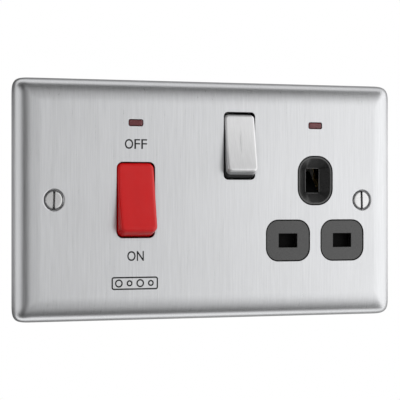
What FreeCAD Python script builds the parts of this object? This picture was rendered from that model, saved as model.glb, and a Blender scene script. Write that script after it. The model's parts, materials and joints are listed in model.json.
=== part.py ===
import FreeCAD, Part
import math
import os

import Sketcher

# Cooker control unit: a steel faceplate with a red double-pole cooker switch and a switched
# three-pin socket, two indicator lamps, and the moulded mechanism that sits in the wall box.
# +X is right, +Z is up and +Y goes into the wall, all as seen from the room. The origin is the
# centre of the faceplate's rear rim. All sizes are in millimetres and degrees.

SIZES = {
    # How far a cut runs past what it cuts, and a block into what it joins
    "cut_over": 1.0,
    "join_over": 0.5,
    # Faceplate
    "plate_wide": 148.0,
    "plate_high": 86.0,
    "plate_deep": 6.0,
    "sheet_thick": 1.0,
    "edge_run": 9.0,
    "rim_round": 4.0,
    "face_round": 1.5,
    # Fixing screws and the dimples that seat them
    "fixing_inset": 13.7,
    "dimple_radius": 4.2,
    "dimple_deep": 2.1,
    "fixing_hole": 1.7,
    "boss_wall": 1.0,
    "fixing_head": 3.3,
    "fixing_dome": 0.75,
    "dome_share": 0.62,
    "fixing_neck": 1.4,
    "neck_room": 0.5,
    "fixing_shank": 1.75,
    "fixing_reach": 19.0,
    "driver_slot": 1.0,
    "driver_deep": 0.8,
    # Cooker switch
    "cooker_inset": 44.2,
    "cooker_up": 0.0,
    "cooker_open_wide": 14.5,
    "cooker_open_high": 27.0,
    "cooker_open_round": 2.2,
    "cooker_face_half": 11.6,
    "cooker_face_out": 6.5,
    "pole_apart": 8.5,
    # Socket switch
    "switch_inward": 30.6,
    "switch_up": 19.7,
    "switch_open_wide": 12.3,
    "switch_open_high": 24.5,
    "switch_open_round": 1.6,
    "switch_face_half": 10.4,
    "switch_face_out": 6.2,
    "cap_thick": 0.9,
    "cap_skirt": 3.8,
    "cap_fit": 0.05,
    # What both rockers share
    "pivot_sunk": 4.0,
    "tilt": 10.0,
    "rocker_fit": 0.25,
    "end_fit": 0.1,
    "rocker_sag": 0.5,
    "rocker_wall": 1.6,
    "rocker_edge": 1.0,
    "end_out": 1.7,
    "rocker_back": 0.2,
    "trunnion_radius": 1.6,
    "trunnion_long": 2.2,
    "trunnion_fit": 0.05,
    "collar_gap": 0.1,
    "collar_wide": 2.0,
    "collar_wall": 1.4,
    "hole_over": 0.5,
    "cheek_half": 2.6,
    "cheek_back": 0.6,
    "stem_radius": 2.5,
    "stem_out": 4.2,
    # Sprung plungers in the rocker stems
    "plunger_radius": 1.5,
    "plunger_fit": 0.06,
    "plunger_reach": 8.3,
    "plunger_long": 6.4,
    "nose_radius": 0.6,
    "nose_long": 1.0,
    "coil_wire": 0.24,
    "coil_turns": 2.0,
    "coil_gap": 0.05,
    # Seesaw contacts
    "plunger_gap": 0.1,
    "contact_swing": 7.0,
    "contact_thick": 1.2,
    "contact_wide": 4.0,
    "contact_half": 7.6,
    "notch_half": 0.9,
    "knife_gap": 0.08,
    "knife_half": 1.0,
    "knife_taper": 1.4,
    "tip_radius": 1.2,
    "tip_out": 6.3,
    "moving_tip": 0.8,
    "contact_gap": 0.12,
    # Indicator lamps
    "lens_wide": 5.6,
    "lens_high": 2.6,
    "lens_round": 0.8,
    "lens_fit": 0.05,
    "lens_up": 27.5,
    "lens_flange": 0.8,
    "lens_lip": 0.7,
    "lamp_radius": 1.8,
    "lamp_seal": 1.2,
    "lamp_long": 8.4,
    "lamp_gap": 0.1,
    "lead_thick": 0.6,
    "resistor_radius": 1.2,
    "resistor_long": 6.0,
    # Socket
    "socket_inset": 33.0,
    "pin_apart": 22.2,
    "line_up": -14.9,
    "earth_up": 7.2,
    "line_pad_wide": 17.6,
    "line_pad_high": 15.1,
    "line_pad_round": 4.8,
    "earth_pad_wide": 14.1,
    "earth_pad_high": 18.0,
    "earth_pad_round": 6.0,
    "line_slot_wide": 7.6,
    "line_slot_high": 5.2,
    "earth_slot_wide": 5.4,
    "earth_slot_high": 9.0,
    "funnel_lip": 0.8,
    "funnel_deep": 2.5,
    "funnel_step": 0.2,
    "pad_fit": 0.1,
    "pad_sunk": 0.1,
    "pin_thick": 3.9,
    "clip_thick": 0.8,
    "line_clip_half": 3.2,
    "line_clip_front": 5.6,
    "line_clip_deep": 18.3,
    "earth_clip_half": 4.2,
    "earth_clip_front": 14.2,
    "earth_clip_deep": 23.3,
    "clip_room": 0.5,
    "well_wall": 1.3,
    # Safety shutter
    "shutter_gap": 0.2,
    "shutter_thick": 1.6,
    "shutter_overlap": 0.7,
    "shutter_end": 1.5,
    "limb_wide": 5.6,
    "ramp_low": 4.4,
    "ramp_run": 8.0,
    "ramp_thick": 2.24,
    "rail_wide": 1.2,
    "shutter_coil": 1.7,
    "shutter_wire": 0.3,
    "shutter_turns": 3.0,
    "coil_seat": 1.6,
    "coil_end_gap": 0.1,
    # Front moulding
    "mould_thick": 2.0,
    "cooker_room": 20.2,
    "socket_room": 21.0,
    "mould_high": 66.0,
    "mould_round": 3.0,
    "inner_round": 2.5,
    "wall_gap": 0.5,
    "swing_room": 0.4,
    "notch_radius": 6.2,
    # Housing
    "housing_wall": 1.8,
    "cavity_deep": 14.5,
    "floor_thick": 1.5,
    "chamber_deep": 11.0,
    "chamber_room": 7.7,
    "barrier_thick": 1.5,
    "barrier_long": 12.5,
    "barrier_root": 1.0,
    "post_radius": 3.0,
    "post_inward": 4.8,
    "post_shift": 2.5,
    "high_post_shift": 12.1,
    "high_post_up": 20.0,
    "pilot_radius": 1.1,
    "housing_screw_radius": 1.3,
    "housing_screw_head": 2.5,
    "housing_head_deep": 1.5,
    "housing_screw_long": 9.0,
    "screw_room": 0.4,
    # Terminals
    "block_wide": 9.0,
    "block_long": 10.0,
    "block_deep": 10.0,
    "wire_bore": 2.6,
    "bore_sunk": 3.6,
    "wire_slot": 6.4,
    "wall_room": 1.2,
    "neutral_shift": -6.7,
    "live_shift": 6.8,
    "earth_shift": 21.6,
    "clamp_radius": 2.1,
    "clamp_fit": 0.06,
    "clamp_proud": 1.0,
    "clamp_slot": 1.2,
    "clamp_above": 0.3,
    # Brass strips
    "strip_thick": 1.0,
    "strip_wide": 5.0,
    "link_wide": 3.6,
    "link_down": 10.0,
    "strip_clear": 1.0,
    "tab_long": 4.0,
    "tab_inward": 1.5,
    "tab_room": 0.3,
    "fixed_start": 4.2,
    "strip_lamp_end": 1.2,
    "drop_inward": 1.7,
    "earth_bar_thick": 1.2,
    "earth_bar_wide": 6.0,
    "earth_drop_wide": 4.0,
}

doc = FreeCAD.newDocument("CookerControlUnit")
sheet = doc.addObject("Spreadsheet::Sheet", "Sizes")
for row, (alias, number) in enumerate(SIZES.items(), start=1):
    sheet.set(f"A{row}", alias)
    sheet.set(f"B{row}", str(number))
    sheet.setAlias(f"B{row}", alias)
doc.recompute()


class Size:
    """A length or angle that carries its value and the sheet formula that drives it."""

    def __init__(self, value, formula):
        self.value = value
        self.formula = formula

    @staticmethod
    def of(item):
        return item if isinstance(item, Size) else Size(float(item), f"{float(item):.6f}")

    def join(self, sign, other, value):
        return Size(value, f"({self.formula} {sign} {other.formula})")

    def __add__(self, item):
        other = Size.of(item)
        return self.join("+", other, self.value + other.value)

    def __sub__(self, item):
        other = Size.of(item)
        return self.join("-", other, self.value - other.value)

    def __mul__(self, item):
        other = Size.of(item)
        return self.join("*", other, self.value * other.value)

    def __truediv__(self, item):
        other = Size.of(item)
        return self.join("/", other, self.value / other.value)

    def __radd__(self, item):
        return Size.of(item) + self

    def __rsub__(self, item):
        return Size.of(item) - self

    def __rmul__(self, item):
        return Size.of(item) * self

    def __neg__(self):
        return Size(-self.value, f"(0 - {self.formula})")


def sine(angle):
    return Size(math.sin(math.radians(angle.value)), f"sin({angle.formula})")


def cosine(angle):
    return Size(math.cos(math.radians(angle.value)), f"cos({angle.formula})")


class Sheet:
    """The spreadsheet's sizes by name."""

    def __getattr__(self, name):
        return Size(float(sheet.get(name)), f"Sizes.{name}")


s = Sheet()
ZERO = Size.of(0)
shapes = []


def bind(item, **formulas):
    """Drive properties of an object, with each dot of a name written as two underscores."""
    for name, size in formulas.items():
        item.setExpression(name.replace("__", "."), Size.of(size).formula)


class Piece:
    """One sub-part: a PartDesign body, its features, and its place in the unit."""

    def __init__(self, name, at=(0, 0, 0), turn=None):
        self.name = name
        self.body = doc.addObject("PartDesign::Body", name)
        self.body.Label = name
        if turn is not None:
            turned = FreeCAD.Rotation(FreeCAD.Vector(1, 0, 0), abs(turn.value))
            self.body.Placement = FreeCAD.Placement(FreeCAD.Vector(), turned)
            bind(self.body, Placement__Rotation__Angle=turn)
        place(self.body, at)
        shapes.append(self.body)

    def sketch(self, role, away=0):
        """An empty sketch on an origin plane, moved along the plane's normal."""
        drawn = self.body.newObject("Sketcher::SketchObject", f"{self.name}_sketch")
        plane = [item for item in self.body.Origin.OriginFeatures if item.Role == role][0]
        drawn.AttachmentSupport = [(plane, "")]
        drawn.MapMode = "FlatFace"
        bind(drawn, AttachmentOffset__Base__z=away)
        return drawn

    def feature(self, kind, name):
        return self.body.newObject(f"PartDesign::{kind}", f"{self.name}_{name}")

    def box(self, x, y, z, cut=False):
        """A block between pairs of low and high values."""
        block = self.feature("SubtractiveBox" if cut else "AdditiveBox", "block")
        bind(block, Length=x[1] - x[0], Width=y[1] - y[0], Height=z[1] - z[0])
        place(block, (x[0], y[0], z[0]))
        return block

    def rod(self, axis, radius, at, long, cut=False):
        """A cylinder that starts at a point and runs along +X, +Y or +Z."""
        rod = self.feature("SubtractiveCylinder" if cut else "AdditiveCylinder", "rod")
        bind(rod, Radius=radius, Height=long)
        rod.Placement = TURNS[axis]
        place(rod, at)
        return rod

    def cone(self, radii, at, long, cut=False):
        """A cone along +Y from a first to a second radius."""
        cone = self.feature("SubtractiveCone" if cut else "AdditiveCone", "cone")
        bind(cone, Radius1=radii[0], Radius2=radii[1], Height=long)
        cone.Placement = TURNS["y"]
        place(cone, at)
        return cone

    def outline(self, y, x, z, radius):
        """A rounded rectangle facing the room, between pairs of low and high values."""
        drawn = self.sketch("XZ_Plane", -y)
        draw_rounded(drawn, x, z, radius)
        return drawn

    def plate(self, y, x, z, radius, cut=False):
        """A rounded rectangle from the first depth to the second."""
        drawn = self.outline(y[1], x, z, radius)
        made = self.feature("Pocket" if cut else "Pad", "plate")
        made.Profile = drawn
        made.Reversed = cut
        bind(made, Length=y[1] - y[0])
        return made

    def loft(self, sections, cut=False):
        """A loft through rounded rectangles, each a depth, x pair, z pair and radius."""
        drawn = [self.outline(*section) for section in sections]
        made = self.feature("SubtractiveLoft" if cut else "AdditiveLoft", "loft")
        made.Profile = drawn[0]
        made.Sections = drawn[1:]
        made.Ruled = True
        return made

    def profile(self, points, wide, middle=0):
        """A side view of (y, z) corners, as wide as given about a middle in X."""
        drawn = self.sketch("YZ_Plane", middle)
        draw_corners(drawn, points)
        made = self.feature("Pad", "profile")
        made.Profile = drawn
        made.Midplane = True
        bind(made, Length=wide)
        return made

    def round_edges(self, radius, wanted):
        """Fillet the edges of the newest feature that a test picks."""
        doc.recompute()
        base = self.body.Tip
        names = [f"Edge{n}" for n, edge in enumerate(base.Shape.Edges, start=1) if wanted(edge)]
        fillet = self.feature("Fillet", "fillet")
        fillet.Base = (base, names)
        bind(fillet, Radius=radius)
        return fillet


TURNS = {
    "x": FreeCAD.Placement(FreeCAD.Vector(), FreeCAD.Rotation(FreeCAD.Vector(0, 1, 0), 90)),
    "y": FreeCAD.Placement(FreeCAD.Vector(), FreeCAD.Rotation(FreeCAD.Vector(1, 0, 0), -90)),
    "z": FreeCAD.Placement(),
}


def place(item, at):
    """Bind the position of an object to three sizes."""
    bind(item, Placement__Base__x=at[0], Placement__Base__y=at[1], Placement__Base__z=at[2])


def hold(drawn, constraint, size):
    """Add a constraint to a sketch and drive it by a size."""
    index = drawn.addConstraint(constraint)
    drawn.setExpression(f"Constraints[{index}]", Size.of(size).formula)


def hold_point(drawn, edge, end, x, y):
    """Drive both coordinates of a point of a sketch."""
    hold(drawn, Sketcher.Constraint("DistanceX", -1, 1, edge, end, x.value), x)
    hold(drawn, Sketcher.Constraint("DistanceY", -1, 1, edge, end, y.value), y)


def draw_corners(drawn, points):
    """A closed outline of straight lines, with every corner driven by the sheet."""
    corners = [(Size.of(x), Size.of(y)) for x, y in points]
    spots = [FreeCAD.Vector(x.value, y.value, 0) for x, y in corners]
    count = len(spots)
    for n in range(count):
        drawn.addGeometry(Part.LineSegment(spots[n], spots[(n + 1) % count]), False)
    for n, (x, y) in enumerate(corners):
        drawn.addConstraint(Sketcher.Constraint("Coincident", n, 1, (n - 1) % count, 2))
        hold_point(drawn, n, 1, x, y)


def draw_rounded(drawn, x, z, radius):
    """A rounded rectangle: four lines and four arcs, held by its sides and radius."""
    (left, right), (low, high) = [[Size.of(end) for end in pair] for pair in (x, z)]
    size = Size.of(radius)
    corners = [(right, high, 0), (left, high, 90), (left, low, 180), (right, low, 270)]
    arcs = []
    for across, up, start in corners:
        middle = FreeCAD.Vector(
            across.value - math.copysign(size.value, across.value - (left.value + right.value) / 2),
            up.value - math.copysign(size.value, up.value - (low.value + high.value) / 2),
            0,
        )
        circle = Part.Circle(middle, FreeCAD.Vector(0, 0, 1), size.value)
        arcs.append(Part.ArcOfCircle(circle, math.radians(start), math.radians(start + 90)))
    for n in range(4):
        drawn.addGeometry(arcs[n], False)
        end = arcs[n].EndPoint
        drawn.addGeometry(Part.LineSegment(end, arcs[(n + 1) % 4].StartPoint), False)
    for n in range(4):
        arc, line, following = 2 * n, 2 * n + 1, (2 * n + 2) % 8
        drawn.addConstraint(Sketcher.Constraint("Tangent", arc, 2, line, 1))
        drawn.addConstraint(Sketcher.Constraint("Tangent", line, 2, following, 1))
        drawn.addConstraint(Sketcher.Constraint("Vertical" if n % 2 else "Horizontal", line))
    for n in range(1, 4):
        drawn.addConstraint(Sketcher.Constraint("Equal", 0, 2 * n))
    hold(drawn, Sketcher.Constraint("Radius", 0, size.value), size)
    hold(drawn, Sketcher.Constraint("DistanceY", -1, 1, 1, 1, high.value), high)
    hold(drawn, Sketcher.Constraint("DistanceX", -1, 1, 3, 1, left.value), left)
    hold(drawn, Sketcher.Constraint("DistanceY", -1, 1, 5, 1, low.value), low)
    hold(drawn, Sketcher.Constraint("DistanceX", -1, 1, 7, 1, right.value), right)


def about(middle, full):
    """The low and high ends of a full width about a middle."""
    return middle - full / 2, middle + full / 2


def grown(pair, more):
    return pair[0] - more, pair[1] + more


# Depths of the layers, from the room to the wall box

FRONT = -s.plate_deep
SHEET_BACK = FRONT + s.sheet_thick
MOULD_BACK = SHEET_BACK + s.mould_thick
FLOOR = MOULD_BACK + s.cavity_deep
FLOOR_BACK = FLOOR + s.floor_thick
CHAMBER_BACK = FLOOR_BACK + s.chamber_deep
STRIP_FRONT = FLOOR - s.strip_thick
PIVOT = FRONT + s.pivot_sunk
CONTACT_PIVOT = PIVOT + s.plunger_reach + s.plunger_gap + s.contact_thick / 2
BORE_DEEP = FLOOR_BACK + s.bore_sunk
PAD_FRONT = FRONT + s.pad_sunk

# Places across and up the unit

FIXING_ACROSS = s.plate_wide / 2 - s.fixing_inset
COOKER_ACROSS = s.cooker_inset - s.plate_wide / 2
SOCKET_ACROSS = s.plate_wide / 2 - s.socket_inset
SWITCH_ACROSS = SOCKET_ACROSS - s.switch_inward
NEUTRAL_ACROSS = COOKER_ACROSS + s.neutral_shift
LIVE_ACROSS = COOKER_ACROSS + s.live_shift
EARTH_ACROSS = COOKER_ACROSS + s.earth_shift
CHAMBER_RIGHT = EARTH_ACROSS + s.chamber_room
MOULD_LEFT = COOKER_ACROSS - s.cooker_room
MOULD_RIGHT = SOCKET_ACROSS + s.socket_room
OUTSIDE = (MOULD_LEFT, MOULD_RIGHT)
TOP = s.mould_high / 2
INNER_TOP = TOP - s.housing_wall
LINE_SPOTS = {
    "neutral": SOCKET_ACROSS - s.pin_apart / 2,
    "live": SOCKET_ACROSS + s.pin_apart / 2,
}
LENS_SPOTS = {"cooker": COOKER_ACROSS, "socket": SOCKET_ACROSS}
POLES = {
    "neutral": COOKER_ACROSS - s.pole_apart / 2,
    "live": COOKER_ACROSS + s.pole_apart / 2,
}
COOKER_OPENING = (
    about(COOKER_ACROSS, s.cooker_open_wide),
    about(s.cooker_up, s.cooker_open_high),
    s.cooker_open_round,
)
SWITCH_OPENING = (
    about(SWITCH_ACROSS, s.switch_open_wide),
    about(s.switch_up, s.switch_open_high),
    s.switch_open_round,
)
LINE_PADS = [
    (about(x, s.line_pad_wide), about(s.line_up, s.line_pad_high), s.line_pad_round)
    for x in LINE_SPOTS.values()
]
EARTH_PAD = (
    about(SOCKET_ACROSS, s.earth_pad_wide),
    about(s.earth_up, s.earth_pad_high),
    s.earth_pad_round,
)
LENSES = [
    (about(x, s.lens_wide), about(s.lens_up, s.lens_high), s.lens_round)
    for x in LENS_SPOTS.values()
]
PADS = LINE_PADS + [EARTH_PAD]
BLOCK_MIDDLE = INNER_TOP - s.wall_room - s.block_long / 2
POST_SPOTS = [
    (MOULD_LEFT + s.housing_wall + s.post_radius, ZERO),
    (CHAMBER_RIGHT + s.post_inward, s.post_shift - BLOCK_MIDDLE),
    (SWITCH_ACROSS + s.high_post_shift, s.high_post_up),
    (MOULD_RIGHT - s.housing_wall - s.post_radius, BLOCK_MIDDLE),
]


# Faceplate: a pressed steel dish with a quarter-elliptic edge

EDGE_BANDS = 7


def edge_sections(inset, run, deep):
    """Rounded rectangles from the rim to the face, following a quarter ellipse."""
    sections = []
    for step in range(EDGE_BANDS + 1):
        share = step / EDGE_BANDS
        angle = 90 * share
        inward = inset + run * (1 - math.cos(math.radians(angle)))
        corner = s.rim_round * (1 - share) + s.face_round * share
        wide = about(ZERO, s.plate_wide - inward * 2)
        high = about(ZERO, s.plate_high - inward * 2)
        sections.append((-deep * math.sin(math.radians(angle)), wide, high, corner))
    return sections


def make_front_plate():
    plate = Piece("front_plate")
    plate.loft(edge_sections(ZERO, s.edge_run, s.plate_deep))
    inner_run = s.edge_run - s.sheet_thick
    plate.loft(edge_sections(s.sheet_thick, inner_run, s.plate_deep - s.sheet_thick), cut=True)
    slope = (s.dimple_radius - s.fixing_hole) / s.dimple_deep
    for side in (-1, 1):
        x = FIXING_ACROSS * side
        deep = s.dimple_deep - s.sheet_thick
        base = s.fixing_hole + s.boss_wall
        plate.cone((base + slope * deep, base), (x, SHEET_BACK, ZERO), deep)
    for side in (-1, 1):
        x = FIXING_ACROSS * side
        plate.cone((s.dimple_radius, s.fixing_hole), (x, FRONT, ZERO), s.dimple_deep, cut=True)
    for across, up, radius in [COOKER_OPENING, SWITCH_OPENING] + PADS + LENSES:
        plate.plate((FRONT, MOULD_BACK), across, up, radius, cut=True)


def make_fixing_screws():
    slope = (s.dimple_radius - s.fixing_hole) / s.dimple_deep
    head_top = FRONT + (s.dimple_radius - s.fixing_head) / slope
    head_deep = (s.fixing_head - s.fixing_neck) / slope
    neck_end = FRONT + s.dimple_deep + s.neck_room
    for name, side in (("left", -1), ("right", 1)):
        screw = Piece(f"fixing_screw_{name}", at=(FIXING_ACROSS * side, 0, 0))
        screw.cone((s.fixing_head, s.fixing_neck), (ZERO, head_top, ZERO), head_deep)
        screw.rod("y", s.fixing_neck, (ZERO, head_top, ZERO), neck_end - head_top)
        screw.rod("y", s.fixing_shank, (ZERO, neck_end, ZERO), s.fixing_reach - neck_end)
        dome = screw.cone(
            (s.fixing_head * s.dome_share, s.fixing_head),
            (ZERO, head_top - s.fixing_dome, ZERO),
            s.fixing_dome,
        )
        dome.Label = f"fixing_dome_{name}"
        slot_end = head_top - s.fixing_dome + s.driver_deep
        slot = about(ZERO, s.driver_slot)
        length = grown((-s.fixing_head, s.fixing_head), s.cut_over)
        screw.box(slot, (FRONT - s.fixing_dome - s.cut_over, slot_end), length, cut=True)


# Front moulding: the black plate behind the steel, with the socket pads standing through it


def add_collars(mould, across, up, opening):
    """Lugs behind a rocker's opening, with the holes that its trunnions turn in."""
    half = s.trunnion_radius + s.trunnion_fit + s.collar_wall
    for side in (-1, 1):
        inner = across + (opening / 2 + s.collar_gap) * side
        outer = inner + s.collar_wide * side
        x = (inner, outer) if side > 0 else (outer, inner)
        mould.box(x, (MOULD_BACK - s.join_over, PIVOT + half), (up - half, up + half))
        start = x[0] - s.hole_over
        radius = s.trunnion_radius + s.trunnion_fit
        mould.rod("x", radius, (start, PIVOT, up), s.collar_wide + s.hole_over * 2, cut=True)


def shutter_spans():
    """The shutter bar's across and up spans."""
    across = (
        LINE_SPOTS["neutral"] - s.line_slot_wide / 2 - s.shutter_end,
        LINE_SPOTS["live"] + s.line_slot_wide / 2 + s.shutter_end,
    )
    return across, grown(about(s.line_up, s.line_slot_high), s.shutter_overlap)


def make_front_moulding():
    mould = Piece("front_moulding")
    layer = (SHEET_BACK, MOULD_BACK)
    mould.plate(layer, OUTSIDE, (-TOP, TOP), s.mould_round)
    for across, up, radius in PADS:
        pad = (grown(across, -s.pad_fit), grown(up, -s.pad_fit), radius - s.pad_fit)
        mould.plate((PAD_FRONT, SHEET_BACK + s.join_over), *pad)
    add_collars(mould, COOKER_ACROSS, s.cooker_up, s.cooker_open_wide)
    add_collars(mould, SWITCH_ACROSS, s.switch_up, s.switch_open_wide)
    (bar_left, bar_right), (_, bar_top) = shutter_spans()
    rail_deep = (MOULD_BACK - s.join_over, MOULD_BACK + s.shutter_gap + s.shutter_thick)
    rail_high = (-INNER_TOP + s.wall_gap, bar_top + s.shutter_end)
    for edge in (bar_left - s.shutter_gap - s.rail_wide, bar_right + s.shutter_gap):
        mould.box((edge, edge + s.rail_wide), rail_deep, rail_high)
    seat = about(SOCKET_ACROSS, s.limb_wide)
    seat_back = MOULD_BACK + s.shutter_gap + s.shutter_coil * 2 + s.shutter_wire * 2
    seat_low = -INNER_TOP + s.wall_gap
    mould.box(seat, (MOULD_BACK - s.join_over, seat_back), (seat_low, seat_low + s.coil_seat))
    for x, z in POST_SPOTS:
        root = (x, MOULD_BACK - s.join_over, z)
        mould.rod("y", s.post_radius, root, s.cavity_deep + s.join_over)
    # Openings
    for across, up, radius in (COOKER_OPENING, SWITCH_OPENING):
        opened = (grown(across, s.collar_gap), grown(up, s.swing_room))
        mould.plate(layer, *opened, radius, cut=True)
    for across, up, radius in LENSES:
        mould.plate(layer, across, up, radius, cut=True)
    through = grown((PAD_FRONT, MOULD_BACK), s.cut_over)
    for x in LINE_SPOTS.values():
        slot = about(x, s.line_slot_wide)
        mould.box(slot, through, about(s.line_up, s.line_slot_high), cut=True)
    slot_wide = about(SOCKET_ACROSS, s.earth_slot_wide)
    slot_high = about(s.earth_up, s.earth_slot_high)
    mould.box(slot_wide, through, slot_high, cut=True)
    mouth = [grown(pair, -s.funnel_lip) for pair in EARTH_PAD[:2]]
    throat = [grown(pair, s.funnel_step) for pair in (slot_wide, slot_high)]
    mould.loft(
        [
            (PAD_FRONT, *mouth, s.earth_pad_round - s.funnel_lip),
            (PAD_FRONT + s.funnel_deep, *throat, s.funnel_lip),
        ],
        cut=True,
    )
    for x, z in POST_SPOTS:
        deep = s.housing_screw_long
        mould.rod("y", s.pilot_radius, (x, FLOOR - deep, z), deep + s.cut_over, cut=True)
    cut_screw_notch(mould, SHEET_BACK, MOULD_BACK)


def cut_screw_notch(piece, front, back):
    """The bite in the right-hand end that clears the fixing screw."""
    x = FIXING_ACROSS
    start = front - s.cut_over
    long = back - front + s.cut_over * 2
    piece.rod("y", s.notch_radius, (x, start, ZERO), long, cut=True)
    span = (-s.notch_radius, s.notch_radius)
    piece.box((x, s.plate_wide / 2), (start, start + long), span, cut=True)


# Rockers


def rocker_corners(face_out, face_half, end_half, back):
    """The side view of a rocker about its pivot, wider at the foot than at the face."""
    return [
        (-face_out, -face_half),
        (-face_out, face_half),
        (-s.end_out, end_half),
        (-back, end_half),
        (-back, -end_half),
        (-s.end_out, -end_half),
    ]


def hollow_face(rocker, face_out, face_half, wide):
    """The shallow dish of the face, a large cylinder's cut."""
    radius = (face_half * face_half + s.rocker_sag * s.rocker_sag) / (s.rocker_sag * 2)
    start = (-wide / 2 - s.cut_over, s.rocker_sag - face_out - radius, ZERO)
    rocker.rod("x", radius, start, wide + s.cut_over * 2, cut=True)


def add_pivot(rocker, wide):
    """Cheeks and trunnions on both sides of a rocker."""
    for side in (-1, 1):
        outer = wide / 2 * side
        inner = outer - s.rocker_wall * side
        cheek = (inner, outer) if side > 0 else (outer, inner)
        deep = (-s.end_out, s.trunnion_radius + s.cheek_back)
        rocker.box(cheek, deep, (-s.cheek_half, s.cheek_half))
    start = (-wide / 2 - s.trunnion_long, ZERO, ZERO)
    for piece_start in (start, (wide / 2 - s.rocker_wall, ZERO, ZERO)):
        rocker.rod("x", s.trunnion_radius, piece_start, s.trunnion_long + s.rocker_wall)


def add_stem(rocker, x, face_out):
    """A tube behind the face that guides a sprung plunger."""
    front = s.rocker_wall + s.rocker_sag - face_out
    root = front - s.join_over
    rocker.rod("y", s.stem_radius, (x, root, ZERO), s.stem_out - root)
    bore = s.plunger_radius + s.plunger_fit
    rocker.rod("y", bore, (x, front, ZERO), s.stem_out - front + s.cut_over, cut=True)


def corner_edge(edge):
    """Pick the four upright corners of a rocker, which run from the face to the foot."""
    box = edge.BoundBox
    return box.YLength > 0.1 and box.XLength < 0.01 and abs(box.Center.z) > s.cheek_half.value * 2


def outer_face_edge(face_out):
    """Pick the edges that lie round the front of a rocker."""
    limit = s.end_out.value + 0.2

    def wanted(edge):
        box = edge.BoundBox
        return box.YMax < -limit and box.YMin < -face_out.value + s.rocker_sag.value + 0.05

    return wanted


def make_cooker_rocker():
    wide = s.cooker_open_wide - s.rocker_fit * 2
    end_half = s.cooker_open_high / 2 - s.end_fit
    at = (COOKER_ACROSS, PIVOT, s.cooker_up)
    rocker = Piece("cooker_rocker", at=at, turn=-s.tilt)
    corners = rocker_corners(s.cooker_face_out, s.cooker_face_half, end_half, s.rocker_back)
    rocker.profile(corners, wide)
    rocker.round_edges(s.cooker_open_round, corner_edge)
    hollow_face(rocker, s.cooker_face_out, s.cooker_face_half, wide)
    rocker.round_edges(s.rocker_edge, outer_face_edge(s.cooker_face_out))
    inside = (-wide / 2 + s.rocker_wall, wide / 2 - s.rocker_wall)
    front = s.rocker_wall + s.rocker_sag - s.cooker_face_out
    length = (-s.cooker_face_half + s.rocker_wall, s.cooker_face_half - s.rocker_wall)
    rocker.box(inside, (front, ZERO), length, cut=True)
    add_pivot(rocker, wide)
    for name, side in (("neutral", -1), ("live", 1)):
        x = s.pole_apart * side / 2
        add_stem(rocker, x, s.cooker_face_out)
        add_plunger(f"cooker_{name}", POLES[name], s.cooker_up, s.cooker_face_out)


def make_socket_rocker():
    wide = s.switch_open_wide - s.rocker_fit * 2
    end_half = s.switch_open_high / 2 - s.end_fit
    at = (SWITCH_ACROSS, PIVOT, s.switch_up)
    skirt = s.switch_face_out - s.cap_skirt
    share = (s.switch_face_out - skirt) / (s.switch_face_out - s.end_out)
    skirt_half = s.switch_face_half + (end_half - s.switch_face_half) * share
    cap = Piece("socket_rocker_cap", at=at, turn=-s.tilt)
    cap.profile(
        [
            (-s.switch_face_out, -s.switch_face_half),
            (-s.switch_face_out, s.switch_face_half),
            (-skirt, skirt_half),
            (-skirt, -skirt_half),
        ],
        wide,
    )
    cap.round_edges(s.switch_open_round, corner_edge)
    hollow_face(cap, s.switch_face_out, s.switch_face_half, wide)
    cap.round_edges(s.rocker_edge, outer_face_edge(s.switch_face_out))
    inner_wide = (-wide / 2 + s.cap_thick, wide / 2 - s.cap_thick)
    inner_long = (-s.switch_face_half + s.cap_thick, s.switch_face_half - s.cap_thick)
    inner_front = s.cap_thick + s.rocker_sag - s.switch_face_out
    cap.box(inner_wide, (inner_front, ZERO), inner_long, cut=True)

    dolly = Piece("socket_rocker_dolly", at=at, turn=-s.tilt)
    dolly.profile(
        [
            (-skirt, -skirt_half),
            (-skirt, skirt_half),
            (-s.end_out, end_half),
            (-s.rocker_back, end_half),
            (-s.rocker_back, -end_half),
            (-s.end_out, -end_half),
        ],
        wide,
    )
    dolly.round_edges(s.switch_open_round, corner_edge)
    dolly.box(
        grown(inner_wide, -s.cap_fit),
        (inner_front + s.cap_fit, -skirt + s.join_over),
        grown(inner_long, -s.cap_fit),
    )
    front = inner_front + s.cap_fit + s.rocker_wall
    hollow = (-wide / 2 + s.rocker_wall + s.cap_thick, wide / 2 - s.rocker_wall - s.cap_thick)
    length = (-s.switch_face_half + s.rocker_wall * 2, s.switch_face_half - s.rocker_wall * 2)
    dolly.box(hollow, (front, ZERO), length, cut=True)
    add_pivot(dolly, wide)
    add_stem(dolly, ZERO, s.switch_face_out - s.cap_thick)
    add_plunger("socket", SWITCH_ACROSS, s.switch_up, s.switch_face_out - s.cap_thick)


def add_plunger(name, x, up, face_out):
    """A taper-nosed plunger and the coil spring behind it, in a rocker's stem."""
    at = (x, PIVOT, up)
    back = s.plunger_reach - s.plunger_long
    plunger = Piece(f"{name}_plunger", at=at, turn=-s.tilt)
    straight = s.plunger_long - s.nose_long
    plunger.rod("y", s.plunger_radius, (ZERO, back, ZERO), straight)
    radii = (s.plunger_radius, s.nose_radius)
    plunger.cone(radii, (ZERO, back + straight, ZERO), s.nose_long)
    seat = s.rocker_wall + s.rocker_sag - face_out
    # The coil starts on the stem's blind end, which the tilt carries up and forwards.
    start = seat + s.coil_wire + s.coil_gap
    long = back - seat - s.coil_wire * 2 - s.coil_gap * 2
    spot = (x, PIVOT + start * cosine(s.tilt), up - start * sine(s.tilt))
    radius = s.plunger_radius - s.coil_wire - s.plunger_fit
    make_coil(f"{name}_spring", radius, s.coil_wire, long, s.coil_turns, spot, -s.tilt - 90)


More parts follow.
